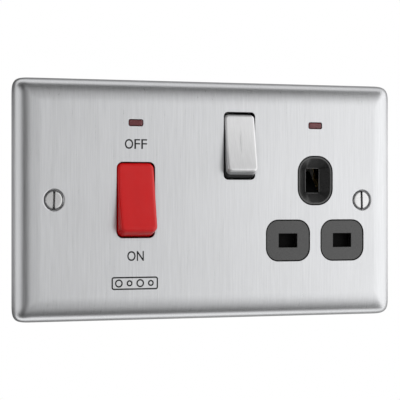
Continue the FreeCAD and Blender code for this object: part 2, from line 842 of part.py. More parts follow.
def make_coil(name, radius, wire, long, turns, at, turn=ZERO):
    """A square wire wound about Z from a first turn, then turned about X into place."""
    helix = Part.makeHelix(long.value / turns.value, long.value, radius.value)
    inner, outer = (radius - wire).value, (radius + wire).value
    corners = [(inner, -1), (outer, -1), (outer, 1), (inner, 1), (inner, -1)]
    square = Part.makePolygon([FreeCAD.Vector(x, 0, side * wire.value) for x, side in corners])
    coil = doc.addObject("Part::Feature", name)
    coil.Label = name
    coil.Shape = Part.Wire(helix.Edges).makePipeShell([square], True, True)
    turned = FreeCAD.Rotation(FreeCAD.Vector(1, 0, 0), turn.value)
    coil.Placement = FreeCAD.Placement(FreeCAD.Vector(*[Size.of(v).value for v in at]), turned)
    shapes.append(coil)


# Contacts: a seesaw on a knife edge, with a silver tip that closes on a fixed one

FIXED_TIP = (
    CONTACT_PIVOT
    + (s.tip_out + s.tip_radius) * sine(s.contact_swing)
    + (s.contact_thick / 2 + s.moving_tip) * cosine(s.contact_swing)
    + s.contact_gap
)


def make_contact(name, x, up):
    at = (x, CONTACT_PIVOT, up)
    half = s.contact_thick / 2
    seesaw = Piece(f"{name}_moving_contact", at=at, turn=s.contact_swing)
    corners = [
        (-half, -s.contact_half),
        (-half, s.contact_half),
        (half, s.contact_half),
        (half, s.notch_half),
        (ZERO, ZERO),
        (half, -s.notch_half),
        (half, -s.contact_half),
    ]
    seesaw.profile(corners, s.contact_wide)
    moving = Piece(f"{name}_moving_tip", at=at, turn=s.contact_swing)
    moving.rod("y", s.tip_radius, (ZERO, half, s.tip_out), s.moving_tip)
    fixed = Piece(f"{name}_fixed_tip", at=(x, FIXED_TIP, up + s.tip_out))
    fixed.rod("y", s.tip_radius, (ZERO, ZERO, ZERO), STRIP_FRONT - FIXED_TIP)


def add_knife(strip, x, up):
    """The post whose edge a seesaw rocks on."""
    edge = CONTACT_PIVOT + s.knife_gap
    corners = [
        (edge, up),
        (edge + s.knife_taper, up + s.knife_half),
        (STRIP_FRONT + s.join_over, up + s.knife_half),
        (STRIP_FRONT + s.join_over, up - s.knife_half),
        (edge + s.knife_taper, up - s.knife_half),
    ]
    strip.profile(corners, s.contact_wide, middle=x)


def add_band(strip, x, z):
    """A stretch of brass strip lying on the housing floor."""
    strip.box(x, (STRIP_FRONT, FLOOR), z)


def tab_spans(x, block_x, side):
    """Where a strip's tab passes the floor: the part of the strip in front of its block."""
    strip = about(x, s.strip_wide)
    block = about(block_x, s.block_wide)
    low = strip[0] if strip[0].value > block[0].value else block[0]
    high = strip[1] if strip[1].value < block[1].value else block[1]
    middle = (BLOCK_MIDDLE - s.tab_inward) * side
    return (low + s.tab_room, high - s.tab_room), about(middle, s.tab_long)


POLE_BLOCKS = {"neutral": NEUTRAL_ACROSS, "live": LIVE_ACROSS}


def make_strips():
    top_end = s.lens_up + s.strip_lamp_end
    low_end = s.tab_inward - BLOCK_MIDDLE - s.tab_long / 2
    knife_end = s.knife_half + s.strip_clear
    for name, x in POLES.items():
        strip = Piece(f"load_{name}_strip")
        add_band(strip, about(x, s.strip_wide), (s.cooker_up + s.fixed_start, top_end))
        tab_x, tab_z = tab_spans(x, POLE_BLOCKS[name], 1)
        strip.box(tab_x, (STRIP_FRONT, FLOOR_BACK), tab_z)
    link_low = (-INNER_TOP + s.wall_gap, -INNER_TOP + s.wall_gap + s.link_wide)
    clip_side = s.pin_thick / 2 + s.clip_thick

    neutral = Piece("supply_neutral_strip")
    pole = about(POLES["neutral"], s.strip_wide)
    add_band(neutral, pole, (link_low[0], s.cooker_up + knife_end))
    add_knife(neutral, POLES["neutral"], s.cooker_up)
    riser = about(LINE_SPOTS["neutral"], s.strip_wide)
    add_band(neutral, (pole[0], riser[1]), link_low)
    add_band(neutral, riser, (link_low[0], s.line_up - clip_side))
    tab_x, tab_z = tab_spans(POLES["neutral"], POLE_BLOCKS["neutral"], -1)
    neutral.box(tab_x, (STRIP_FRONT, FLOOR_BACK), tab_z)

    live = Piece("supply_live_strip")
    pole = about(POLES["live"], s.strip_wide)
    add_band(live, pole, (low_end, s.cooker_up + knife_end))
    add_knife(live, POLES["live"], s.cooker_up)
    riser = about(SWITCH_ACROSS, s.strip_wide)
    crossing = (-s.link_down - s.link_wide, -s.link_down)
    add_band(live, (pole[0], riser[1]), crossing)
    add_band(live, riser, (crossing[0], s.switch_up + knife_end))
    add_knife(live, SWITCH_ACROSS, s.switch_up)
    tab_x, tab_z = tab_spans(POLES["live"], POLE_BLOCKS["live"], -1)
    live.box(tab_x, (STRIP_FRONT, FLOOR_BACK), tab_z)

    switched = Piece("switched_live_strip")
    drop = about(LINE_SPOTS["live"] - s.drop_inward, s.link_wide)
    add_band(switched, about(SWITCH_ACROSS, s.strip_wide), (s.switch_up + s.fixed_start, top_end))
    add_band(switched, (SWITCH_ACROSS - s.strip_wide / 2, drop[1]), (top_end - s.link_wide, top_end))
    add_band(switched, drop, (s.line_up + clip_side, top_end))

    earth = Piece("earth_bar")
    bar_deep = (FLOOR_BACK, FLOOR_BACK + s.earth_bar_thick)
    drop_x = about(EARTH_ACROSS, s.earth_drop_wide)
    block_end = BLOCK_MIDDLE - s.block_long / 2
    earth.box(drop_x, bar_deep, (-block_end, block_end))
    clip_face = SOCKET_ACROSS - clip_side
    earth.box((drop_x[0], clip_face), bar_deep, about(s.earth_up, s.earth_bar_wide))


# Terminals: brass blocks with a wire bore, each clamped by a screw from behind

TERMINALS = [
    ("load_neutral", NEUTRAL_ACROSS, 1),
    ("load_live", LIVE_ACROSS, 1),
    ("load_earth", EARTH_ACROSS, 1),
    ("supply_neutral", NEUTRAL_ACROSS, -1),
    ("supply_live", LIVE_ACROSS, -1),
    ("supply_earth", EARTH_ACROSS, -1),
]


def make_terminals():
    half = s.block_long / 2
    top = s.block_deep - s.bore_sunk
    for name, x, side in TERMINALS:
        at = (x, BORE_DEEP, BLOCK_MIDDLE * side)
        block = Piece(f"{name}_terminal", at=at)
        block.box(about(ZERO, s.block_wide), (-s.bore_sunk, top), (-half, half))
        start = (ZERO, ZERO, -half - s.cut_over)
        block.rod("z", s.wire_bore, start, s.block_long + s.cut_over * 2, cut=True)
        hole = s.clamp_radius + s.clamp_fit
        block.rod("y", hole, (ZERO, ZERO, ZERO), top + s.cut_over, cut=True)
        screw = Piece(f"{name}_screw", at=at)
        start = s.wire_bore + s.clamp_above
        end = top + s.clamp_proud
        screw.rod("y", s.clamp_radius, (ZERO, start, ZERO), end - start)
        slot = about(ZERO, s.driver_slot)
        length = grown((-s.clamp_radius, s.clamp_radius), s.cut_over)
        screw.box(length, (end - s.clamp_slot, end + s.cut_over), slot, cut=True)


# Socket clips: brass leaves that grip the plug's pins


def make_clips():
    gap = s.pin_thick / 2
    outer = gap + s.clip_thick
    for name, x in LINE_SPOTS.items():
        clip = Piece(f"{name}_clip", at=(x, FRONT, s.line_up))
        across = (-s.line_clip_half, s.line_clip_half)
        back = s.line_clip_deep + s.clip_thick
        clip.box(across, (s.line_clip_front, back), (-outer, outer))
        clip.box(grown(across, s.cut_over), (ZERO, s.line_clip_deep), (-gap, gap), cut=True)
    clip = Piece("earth_clip", at=(SOCKET_ACROSS, FRONT, s.earth_up))
    up = (-s.earth_clip_half, s.earth_clip_half)
    clip.box((-outer, outer), (s.earth_clip_front, s.earth_clip_deep + s.clip_thick), up)
    clip.box((-gap, gap), (ZERO, s.earth_clip_deep), grown(up, s.cut_over), cut=True)


def make_shutter():
    (left, right), up = shutter_spans()
    front = MOULD_BACK + s.shutter_gap
    deep = (front, front + s.shutter_thick)
    shutter = Piece("shutter")
    shutter.box((left, right), deep, up)
    low = s.earth_up - s.ramp_low
    limb = about(SOCKET_ACROSS, s.limb_wide)
    shutter.box(limb, deep, (up[1] - s.join_over, low))
    corners = [
        (front, low - s.ramp_thick),
        (front, low),
        (front + s.ramp_run, low + s.ramp_run),
        (front + s.ramp_run, low + s.ramp_run - s.ramp_thick),
    ]
    shutter.profile(corners, s.limb_wide, middle=SOCKET_ACROSS)
    seat_top = -INNER_TOP + s.wall_gap + s.coil_seat
    start = seat_top + s.shutter_wire + s.coil_end_gap
    long = up[0] - start - s.shutter_wire - s.coil_end_gap
    y = front + s.shutter_coil + s.shutter_wire
    at = (SOCKET_ACROSS, y, start)
    make_coil("shutter_spring", s.shutter_coil, s.shutter_wire, long, s.shutter_turns, at)


# Indicators: a red lens in the plate, a neon lamp behind it, and its resistor


def make_indicators():
    lamp_deep = MOULD_BACK + s.lens_flange + s.lamp_gap + s.lamp_radius
    half = s.lamp_long / 2
    for name, x in LENS_SPOTS.items():
        lens = Piece(f"{name}_lens", at=(x, 0, s.lens_up))
        wide = grown(about(ZERO, s.lens_wide), -s.lens_fit)
        high = grown(about(ZERO, s.lens_high), -s.lens_fit)
        deep = (FRONT, MOULD_BACK + s.lens_flange / 2)
        lens.plate(deep, wide, high, s.lens_round - s.lens_fit)
        lip = (grown(wide, s.lens_lip), grown(high, s.lens_lip), s.lens_round)
        lens.plate((MOULD_BACK, MOULD_BACK + s.lens_flange), *lip)
        lamp = Piece(f"{name}_lamp", at=(x, lamp_deep, s.lens_up))
        tube = half - s.lamp_seal
        lamp.rod("x", s.lamp_radius, (-tube, ZERO, ZERO), tube * 2)
        lamp.rod("x", s.lamp_seal, (-half, ZERO, ZERO), half * 2)
        # One lead runs straight back to the strip, the other goes through the resistor.
        side = -1 if name == "cooker" else 1
        bend = (half + s.lead_thick) * side
        wire = about(ZERO, s.lead_thick)
        sideways = (half - s.lead_thick, bend) if side > 0 else (bend, s.lead_thick - half)
        lamp.box(sideways, wire, wire)
        lamp.box(about(bend, s.lead_thick), (wire[0], STRIP_FRONT - lamp_deep), wire)
        add_resistor(name, x, lamp_deep, -side)


def add_resistor(name, x, lamp_deep, side):
    """A resistor on the lamp's other lead, running back to the strip or down to the clip."""
    spot = x + (s.lamp_long / 2 + s.resistor_radius) * side
    resistor = Piece(f"{name}_resistor", at=(spot, lamp_deep, s.lens_up))
    wire = about(ZERO, s.lead_thick)
    join = s.resistor_radius
    resistor.box((-join, wire[1]) if side > 0 else (wire[0], join), wire, wire)
    if name == "cooker":
        reach = STRIP_FRONT - lamp_deep
        resistor.box(wire, (wire[0], reach), wire)
        middle = (reach - s.resistor_long) / 2
        resistor.rod("y", s.resistor_radius, (ZERO, middle, ZERO), s.resistor_long)
        return
    deep = STRIP_FRONT - lamp_deep - s.strip_clear - s.resistor_radius
    run = grown((deep, deep), s.lead_thick / 2)
    resistor.box(wire, (wire[0], run[1]), wire)
    down = s.line_up + s.pin_thick / 2 + s.clip_thick - s.lens_up
    resistor.box(wire, run, (down, wire[1]))
    resistor.rod("z", s.resistor_radius, (ZERO, deep, down / 2), s.resistor_long)
    # The foot reaches across to the clip's upper leaf.
    foot = LINE_SPOTS["neutral"] + s.line_clip_half - spot
    resistor.box((foot, wire[1]), run, (down, down + s.lead_thick))


# Housing: the moulded body that carries the strips, clips and terminals


def make_housing():
    housing = Piece("housing")
    up = (-TOP, TOP)
    housing.plate((MOULD_BACK, FLOOR_BACK), OUTSIDE, up, s.mould_round)
    chamber = (MOULD_LEFT, CHAMBER_RIGHT + s.housing_wall)
    housing.plate((FLOOR_BACK - s.join_over, CHAMBER_BACK), chamber, up, s.mould_round)
    wells = []
    outer = s.pin_thick / 2 + s.clip_thick
    for x in LINE_SPOTS.values():
        wells.append((x, s.line_up, s.line_clip_half, outer, s.line_clip_deep))
    wells.append((SOCKET_ACROSS, s.earth_up, outer, s.earth_clip_half, s.earth_clip_deep))
    for x, z, half_wide, half_high, deep in wells:
        back = FRONT + deep + s.clip_thick + s.clip_room
        wide = (x - half_wide - s.clip_room, x + half_wide + s.clip_room)
        high = (z - half_high - s.clip_room, z + half_high + s.clip_room)
        wall = s.well_wall
        housing.box(grown(wide, wall), (FLOOR_BACK - s.join_over, back + wall), grown(high, wall))
    hollow = (grown(OUTSIDE, -s.housing_wall), grown(up, -s.housing_wall))
    housing.plate((MOULD_BACK, FLOOR), *hollow, s.inner_round, cut=True)
    open_back = (grown(chamber, -s.housing_wall), grown(up, -s.housing_wall))
    housing.plate((FLOOR_BACK, CHAMBER_BACK), *open_back, s.inner_round, cut=True)
    for x, z, half_wide, half_high, deep in wells:
        back = FRONT + deep + s.clip_thick + s.clip_room
        wide = (x - half_wide - s.clip_room, x + half_wide + s.clip_room)
        high = (z - half_high - s.clip_room, z + half_high + s.clip_room)
        housing.box(wide, (FLOOR - s.cut_over, back), high, cut=True)
    # The wall that lines the fixing screw's notch, then the notch itself
    x = FIXING_ACROSS
    lining = s.notch_radius + s.housing_wall
    span = (x - lining, MOULD_RIGHT)
    housing.box(span, (MOULD_BACK, FLOOR + s.join_over), (-lining, lining))
    cut_screw_notch(housing, MOULD_BACK, FLOOR_BACK)
    # A recess in the top wall for the end of the socket rocker
    opening_wide, opening_high, _ = SWITCH_OPENING
    recess_deep = (MOULD_BACK - s.cut_over, PIVOT + s.end_out + s.rocker_wall)
    recess_high = (INNER_TOP - s.cut_over, opening_high[1] + s.swing_room)
    housing.box(grown(opening_wide, s.swing_room), recess_deep, recess_high, cut=True)
    # Barriers between the terminals
    spots = [NEUTRAL_ACROSS, LIVE_ACROSS, EARTH_ACROSS]
    for low, high in zip(spots, spots[1:]):
        middle = (low + high) / 2
        for side in (-1, 1):
            root = (TOP - s.barrier_root) * side
            low_end = root - s.barrier_long if side > 0 else root
            reach = (low_end, low_end + s.barrier_long)
            rib = about(middle, s.barrier_thick)
            housing.box(rib, (FLOOR_BACK - s.join_over, CHAMBER_BACK), reach)
    # Slots where the wires come in, and windows for the strips' tabs
    slot_deep = (BORE_DEEP - s.wire_slot / 2, CHAMBER_BACK + s.cut_over)
    for _, x, side in TERMINALS:
        wall = (INNER_TOP, TOP) if side > 0 else (-TOP, -INNER_TOP)
        housing.box(about(x, s.wire_slot), slot_deep, grown(wall, s.cut_over), cut=True)
    for name, x in POLES.items():
        for side in (-1, 1):
            wide, high = tab_spans(x, POLE_BLOCKS[name], side)
            through = grown((FLOOR, FLOOR_BACK), s.cut_over)
            window = (grown(wide, s.tab_room), through, grown(high, s.tab_room))
            housing.box(*window, cut=True)
    bar = grown(about(s.earth_up, s.earth_bar_wide), s.tab_room)
    bar_deep = (FLOOR_BACK, FLOOR_BACK + s.earth_bar_thick + s.tab_room)
    bar_span = grown((CHAMBER_RIGHT, CHAMBER_RIGHT + s.housing_wall), s.cut_over)
    housing.box(bar_span, bar_deep, bar, cut=True)
    well_left = SOCKET_ACROSS - outer - s.clip_room
    well_side = grown((well_left - s.well_wall, well_left), s.cut_over)
    housing.box(well_side, bar_deep, bar, cut=True)
    for x, z in POST_SPOTS:
        radius = s.housing_screw_radius + s.screw_room
        start = (x, FLOOR - s.cut_over, z)
        housing.rod("y", radius, start, s.floor_thick + s.cut_over * 2, cut=True)


def make_housing_screws():
    """Four screws as one group of separate solids, driven in from behind."""
    solids = []
    for x, z in POST_SPOTS:
        head = Part.makeCylinder(
            s.housing_screw_head.value,
            s.housing_head_deep.value,
            FreeCAD.Vector(x.value, FLOOR_BACK.value, z.value),
            FreeCAD.Vector(0, 1, 0),
        )
        long = s.housing_screw_long.value
        shank = Part.makeCylinder(
            s.pilot_radius.value,
            long,
            FreeCAD.Vector(x.value, FLOOR_BACK.value - long, z.value),
            FreeCAD.Vector(0, 1, 0),
        )
        solids.append(head.fuse(shank).removeSplitter())
    group = doc.addObject("Part::Feature", "housing_screws")
    group.Label = "housing_screws"
    group.Shape = Part.makeCompound(solids)
    group.Placement = FreeCAD.Placement()
    shapes.append(group)


make_front_plate()
make_fixing_screws()
make_front_moulding()
make_cooker_rocker()
make_socket_rocker()
for pole, across in POLES.items():
    make_contact(f"cooker_{pole}", across, s.cooker_up)
make_contact("socket", SWITCH_ACROSS, s.switch_up)
make_strips()
make_terminals()
make_clips()
make_shutter()
make_indicators()
make_housing()
make_housing_screws()
doc.recompute()

for item in doc.Objects:
    if any(word in item.State for word in ("Invalid", "Error")):
        raise RuntimeError(f"{item.Name} failed: {item.State}")

os.makedirs("parts", exist_ok=True)
for item in shapes:
    shape = item.Shape
    if shape.isNull() or not shape.isValid():
        raise RuntimeError(f"{item.Label} has no valid shape")
    shape.exportStep(f"parts/{item.Label}.step")
    print(f"{item.Label}: {len(shape.Solids)} solid(s), {shape.Volume:.1f} mm3")
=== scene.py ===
import json
import logging
import math
from dataclasses import dataclass, replace
from enum import Enum
from functools import cache
from typing import Iterable, Sequence

import bmesh
import bpy
from mathutils import Matrix, Vector


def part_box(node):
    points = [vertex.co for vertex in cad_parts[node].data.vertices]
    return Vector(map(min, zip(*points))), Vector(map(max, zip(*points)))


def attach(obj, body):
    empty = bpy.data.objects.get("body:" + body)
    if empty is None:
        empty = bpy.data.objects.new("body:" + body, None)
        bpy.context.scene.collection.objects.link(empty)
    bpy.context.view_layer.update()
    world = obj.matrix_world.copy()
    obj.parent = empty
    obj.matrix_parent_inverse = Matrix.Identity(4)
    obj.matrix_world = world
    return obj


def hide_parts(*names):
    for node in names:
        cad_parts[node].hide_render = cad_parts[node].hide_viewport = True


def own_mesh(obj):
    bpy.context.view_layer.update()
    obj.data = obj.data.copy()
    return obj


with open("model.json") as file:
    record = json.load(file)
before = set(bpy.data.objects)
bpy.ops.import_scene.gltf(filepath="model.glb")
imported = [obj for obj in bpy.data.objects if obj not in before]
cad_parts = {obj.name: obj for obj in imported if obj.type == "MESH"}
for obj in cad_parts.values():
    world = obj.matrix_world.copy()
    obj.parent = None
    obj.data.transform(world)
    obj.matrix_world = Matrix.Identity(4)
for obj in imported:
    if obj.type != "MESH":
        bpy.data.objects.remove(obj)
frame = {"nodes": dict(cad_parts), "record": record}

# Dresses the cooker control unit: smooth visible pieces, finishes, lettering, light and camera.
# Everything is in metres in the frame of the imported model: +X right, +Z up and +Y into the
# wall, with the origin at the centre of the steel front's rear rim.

log = logging.getLogger("cooker_control_unit")

MM = 0.001
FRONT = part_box("front_plate")[0].y
SHEET = 1.0 * MM
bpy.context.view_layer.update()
UNIT = "unit"
WHITE = (1, 1, 1, 1)
FULL_RANGE = (0.0, 1.0)
NOISE_RANGE = (0.3, 0.7)
SMALLEST = 0.02 * MM
WELD = 0.0005 * MM
OVERRUN = 1.0 * MM

Loop = list[Vector]
Range = tuple[float, float]
Profile = list[tuple[float, float]]
Triple = tuple[float, float, float]
Material = bpy.types.Material
Node = bpy.types.Node
Socket = bpy.types.NodeSocket
Thing = bpy.types.Object


# Meshes


def eased(share: float, power: float) -> float:
    """A sine or cosine for a corner that is squarer than a round one the more its power is."""
    return math.copysign(abs(share) ** (2 / power), share)


@dataclass(frozen=True)
class Outline:
    """A rectangle facing the room, whose corners are round at a power of 2."""

    across: float
    up: float
    wide: float
    high: float
    corner: float
    power: float = 2.0

    def grown(self, more: float) -> "Outline":
        """The same outline moved outwards, or inwards by a negative amount."""
        wide, high = self.wide + 2 * more, self.high + 2 * more
        return replace(self, wide=wide, high=high, corner=max(self.corner + more, SMALLEST))

    def loop(self, depth: float, steps: int = 10, straight: int = 1) -> Loop:
        """Points round the outline at one depth.

        Args:
            depth: The Y of the points.
            steps: How many chords a corner has.
            straight: How many parts each straight side has.

        Returns:
            The points, in order, starting at the right end of the top.
        """
        points: Loop = []
        for quarter in range(4):
            start = math.pi / 2 * quarter
            side = 1 if quarter in (0, 3) else -1
            rise = 1 if quarter in (0, 1) else -1
            middle_x = self.across + side * (self.wide / 2 - self.corner)
            middle_z = self.up + rise * (self.high / 2 - self.corner)
            for step in range(steps + 1):
                angle = start + math.pi / 2 * step / steps
                x = middle_x + self.corner * eased(math.cos(angle), self.power)
                z = middle_z + self.corner * eased(math.sin(angle), self.power)
                points.append(Vector((x, depth, z)))
        if straight == 1:
            return points
        full: Loop = []
        for n, point in enumerate(points):
            full.append(point)
            if n % (steps + 1) == steps:
                end = points[(n + 1) % len(points)]
                full += [point.lerp(end, part / straight) for part in range(1, straight)]
        return full


def link(name: str, data: bpy.types.ID) -> Thing:
    """A new object in the scene for a mesh, text, lamp or camera.

    Args:
        name: Its name.
        data: What it shows.

    Returns:
        The object.
    """
    made = bpy.data.objects.new(name, data)
    bpy.context.scene.collection.objects.link(made)
    return made


def circle(centre: Vector, radius: float, steps: int = 48) -> Loop:
    """Points round a circle that faces the room."""
    turns = [2 * math.pi / steps * n for n in range(steps)]
    return [centre + Vector((radius * math.cos(t), 0, radius * math.sin(t))) for t in turns]


class Maker:
    """Collects skinned loops and turns them into one object."""

    def __init__(self) -> None:
        """Start with an empty mesh."""
        self.mesh = bmesh.new()

    def strip(self, loops: Sequence[Loop], closed: bool = False) -> list[list[bmesh.types.BMVert]]:
        """Join loops of equal length by quads, and the last to the first if closed.

        Args:
            loops: The loops, in order.
            closed: Whether the last meets the first.

        Returns:
            The loops as mesh points.
        """
        rows = [[self.mesh.verts.new(point) for point in loop] for loop in loops]
        for first, second in zip(rows, rows[1:] + rows[: int(closed)]):
            for n in range(len(first)):
                after = (n + 1) % len(first)
                self.mesh.faces.new((first[n], first[after], second[after], second[n]))
        return rows

    def skin(self, loops: Sequence[Loop], placed: Matrix | None = None) -> "Maker":
        """Join loops of equal length by quads and close both ends.

        Args:
            loops: The loops, from one end to the other.
            placed: Where the finished shell goes, if it isn't drawn in place.

        Returns:
            The maker itself.
        """
        shift = placed or Matrix.Identity(4)
        rows = self.strip([[shift @ point for point in loop] for loop in loops])
        self.mesh.faces.new(rows[0])
        self.mesh.faces.new(rows[-1])
        return self

    def ring(self, outer: Outline, inner: Outline, front: float, back: float) -> "Maker":
        """A flat frame between two outlines.

        Args:
            outer: The outer outline.
            inner: The inner outline.
            front: The Y of its front.
            back: The Y of its back.

        Returns:
            The maker itself.
        """
        loops = [outer.loop(front), outer.loop(back), inner.loop(back), inner.loop(front)]
        self.strip(loops, closed=True)
        return self

    def panel(self, half_wide: float, half_high: float, level: float = 0.0) -> "Maker":
        """A single rectangle about the origin that faces +Z.

        Args:
            half_wide: Half its length in X.
            half_high: Half its length in Y.
            level: Its Z.

        Returns:
            The maker itself.
        """
        corners = [(-1, -1), (1, -1), (1, 1), (-1, 1)]
        spots = [(half_wide * u, half_high * v, level) for u, v in corners]
        self.mesh.faces.new([self.mesh.verts.new(spot) for spot in spots])
        return self

    def finish(self, name: str) -> Thing:
        """Close the collection and make its object.

        Args:
            name: The object's name.

        Returns:
            The new object, linked to the scene.
        """
        bmesh.ops.remove_doubles(self.mesh, verts=self.mesh.verts, dist=WELD)
        bmesh.ops.recalc_face_normals(self.mesh, faces=self.mesh.faces)
        data = bpy.data.meshes.new(name)
        self.mesh.to_mesh(data)
        self.mesh.free()
        return link(name, data)


def evaluated(made: Thing) -> bpy.types.Mesh:
    """The mesh that an object's modifiers or its curves give."""
    graph = bpy.context.evaluated_depsgraph_get()
    return bpy.data.meshes.new_from_object(made.evaluated_get(graph))


def bake(made: Thing) -> None:
    """Put the result of an object's modifiers into its mesh.

    Args:
        made: The object.
    """
    data = evaluated(made)
    made.modifiers.clear()
    made.data = data


def carve(made: Thing, tool: Thing, how: str = "DIFFERENCE") -> None:
    """Cut one object by another, or add it, and remove the tool.

    Args:
        made: The object.
        tool: The tool.
        how: The boolean's operation.
    """
    cut = made.modifiers.new("carve", "BOOLEAN")
    cut.operation = how
    cut.object = tool
    cut.solver = "EXACT"
    bake(made)
    bpy.data.objects.remove(tool)


def smooth(made: Thing, angle: float) -> Thing:
    """Shade an object smooth and keep its flats flat.

    Args:
        made: The object.
        angle: The angle above which an edge stays sharp, in degrees.

    Returns:
        The same object.
    """
    made.data.shade_smooth()
    made.data.set_sharp_from_angle(angle=math.radians(angle))
    weighted = made.modifiers.new("flats", "WEIGHTED_NORMAL")
    weighted.keep_sharp = True
    bake(made)
    return made


# Finishes


class Graph:
    """The nodes of a material or a world, with short calls to add and join them."""

    def __init__(self, name: str, world: bool = False) -> None:
        """Make an empty material or world with an output node.

        Args:
            name: Its name.
            world: Whether it is a world.
        """
        kept, kind = (bpy.data.worlds, "World") if world else (bpy.data.materials, "Material")
        self.made = kept.new(name)
        self.made.use_nodes = True
        self.tree = self.made.node_tree
        self.tree.nodes.clear()
        self.output = self.add(f"Output{kind}")

    def feed(self, socket: Socket, value: object) -> None:
        """Join a socket to a source, or set it to a plain value.

        Args:
            socket: The socket.
            value: The source or the value.
        """
        if isinstance(value, Socket):
            self.tree.links.new(value, socket)
        else:
            socket.default_value = value

    def add(self, kind: str, **sockets: object) -> Node:
        """Add a node.

        Args:
            kind: The node's type without its ShaderNode prefix.
            **sockets: Socket values or sources by name, with underscores for blanks.

        Returns:
            The new node.
        """
        node = self.tree.nodes.new(f"ShaderNode{kind}")
        for name, value in sockets.items():
            self.feed(node.inputs[name.replace("_", " ")], value)
        return node

    def maths(self, operation: str, *values: object) -> Socket:
        """Work out a number from others.

        Args:
            operation: The math node's operation.
            *values: The numbers, or their sources.

        Returns:
            The result.
        """
        node = self.add("Math")
        node.operation = operation
        for socket, value in zip(node.inputs, values):
            self.feed(socket, value)
        return node.outputs[0]

    def product(self, first: object, *others: Socket) -> Socket:
        """Several numbers multiplied.

        Args:
            first: The first of them.
            *others: The rest.

        Returns:
            Their product.
        """
        for other in others:
            first = self.maths("MULTIPLY", first, other)
        return first

    def noise(self, cells: Triple, detail: float = 2.0) -> Socket:
        """Smooth noise between 0 and 1.

        Args:
            cells: How many cells a metre holds along each axis.
            detail: How many finer layers lie over them.

        Returns:
            The noise.
        """
        where = self.add("TexCoord").outputs["Object"]
        at = self.add("Mapping", Vector=where, Scale=cells).outputs[0]
        return self.add("TexNoise", Vector=at, Scale=1.0, Detail=detail).outputs["Fac"]

    def remap(self, value: Socket, source: Range, target: Range, kind: str = "LINEAR") -> Socket:
        """Carry a number from one range to another, and hold it at the ends.

        Args:
            value: The number.
            source: The range it comes from.
            target: The range it goes to.
            kind: The interpolation between the ends.

        Returns:
            The number in its new range.
        """
        names = ("From_Min", "From_Max", "To_Min", "To_Max")
        node = self.add("MapRange", Value=value, **dict(zip(names, (*source, *target))))
        node.interpolation_type = kind
        return node.outputs[0]

    def spread(self, value: Socket, low: float, high: float) -> Socket:
        """Map the middle of a noise to a range of numbers."""
        return self.remap(value, NOISE_RANGE, (low, high))

    def ramp(self, value: Socket, start: float, end: float) -> Socket:
        """A smooth step from 0 at the start to 1 at the end."""
        return self.remap(value, (start, end), FULL_RANGE, "SMOOTHSTEP")

    def painted_shade(self, reach: float, darkest: float) -> Socket:
        """Painted shade: a share that falls from 1 in the open to its least deep in slots and
        corners.

        Args:
            reach: How far walls darken a point.
            darkest: The least share.

        Returns:
            The share.
        """
        # Ambient occlusion becomes painted shade: the colour is darkened where nearby walls would
        # block light.
        shut = self.add("AmbientOcclusion", Distance=reach)
        shut.samples = 8
        return self.remap(shut.outputs["AO"], FULL_RANGE, (darkest, 1.0))

    def bump(self, height: Socket, strength: float, distance: float, bevel: float = 0.0) -> Socket:
        """A bumped normal, over edges that are rounded in the look alone.

        Args:
            height: The bumps.
            strength: How much of them shows.
            distance: How high they stand.
            bevel: The radius of the rounded edges, or 0 for edges as they are.

        Returns:
            The normal.
        """
        node = self.add("Bump", Height=height, Strength=strength, Distance=distance)
        if bevel:
            rounded = self.add("Bevel", Radius=bevel)
            rounded.samples = 4
            self.feed(node.inputs["Normal"], rounded.outputs[0])
        return node.outputs[0]

    def seen(self) -> Socket:
        """1 for rays of the camera, gloss and clear matter, and 0 for those of light.

        Returns:
            The number.
        """
        path = self.add("LightPath")
        seen = path.outputs["Is Camera Ray"]
        for name in ("Is Glossy Ray", "Is Transmission Ray"):
            seen = self.maths("MAXIMUM", seen, path.outputs[name])
        return seen

    def mix(self, share: Socket, first: Node, second: Node) -> Node:
        """One shader where the share is 0 and another where it is 1.

        Args:
            share: The share.
            first: The shader at 0.
            second: The shader at 1.

        Returns:
            The node that blends them.
        """
        node = self.add("MixShader", Fac=share)
        for shader, socket in zip((first, second), node.inputs[1:]):
            self.feed(socket, shader.outputs[0])
        return node

    def close(self, shader: Node) -> Material | bpy.types.World:
        """Join a shader to the output and return the material or world."""
        self.feed(self.output.inputs["Surface"], shader.outputs[0])
        return self.made

    def surface(self, colour: Triple, tone: Socket, **sockets: object) -> Material:
        """Close the material with one principled shader.

        Args:
            colour: Its colour.
            tone: A number near 1 that the colour is multiplied by.
            **sockets: Its other sockets.

        Returns:
            The material.
        """
        toned = self.add("VectorMath")
        toned.operation = "SCALE"
        self.feed(toned.inputs[0], colour)
        self.feed(toned.inputs["Scale"], tone)
        return self.close(self.add("BsdfPrincipled", Base_Color=toned.outputs[0], **sockets))


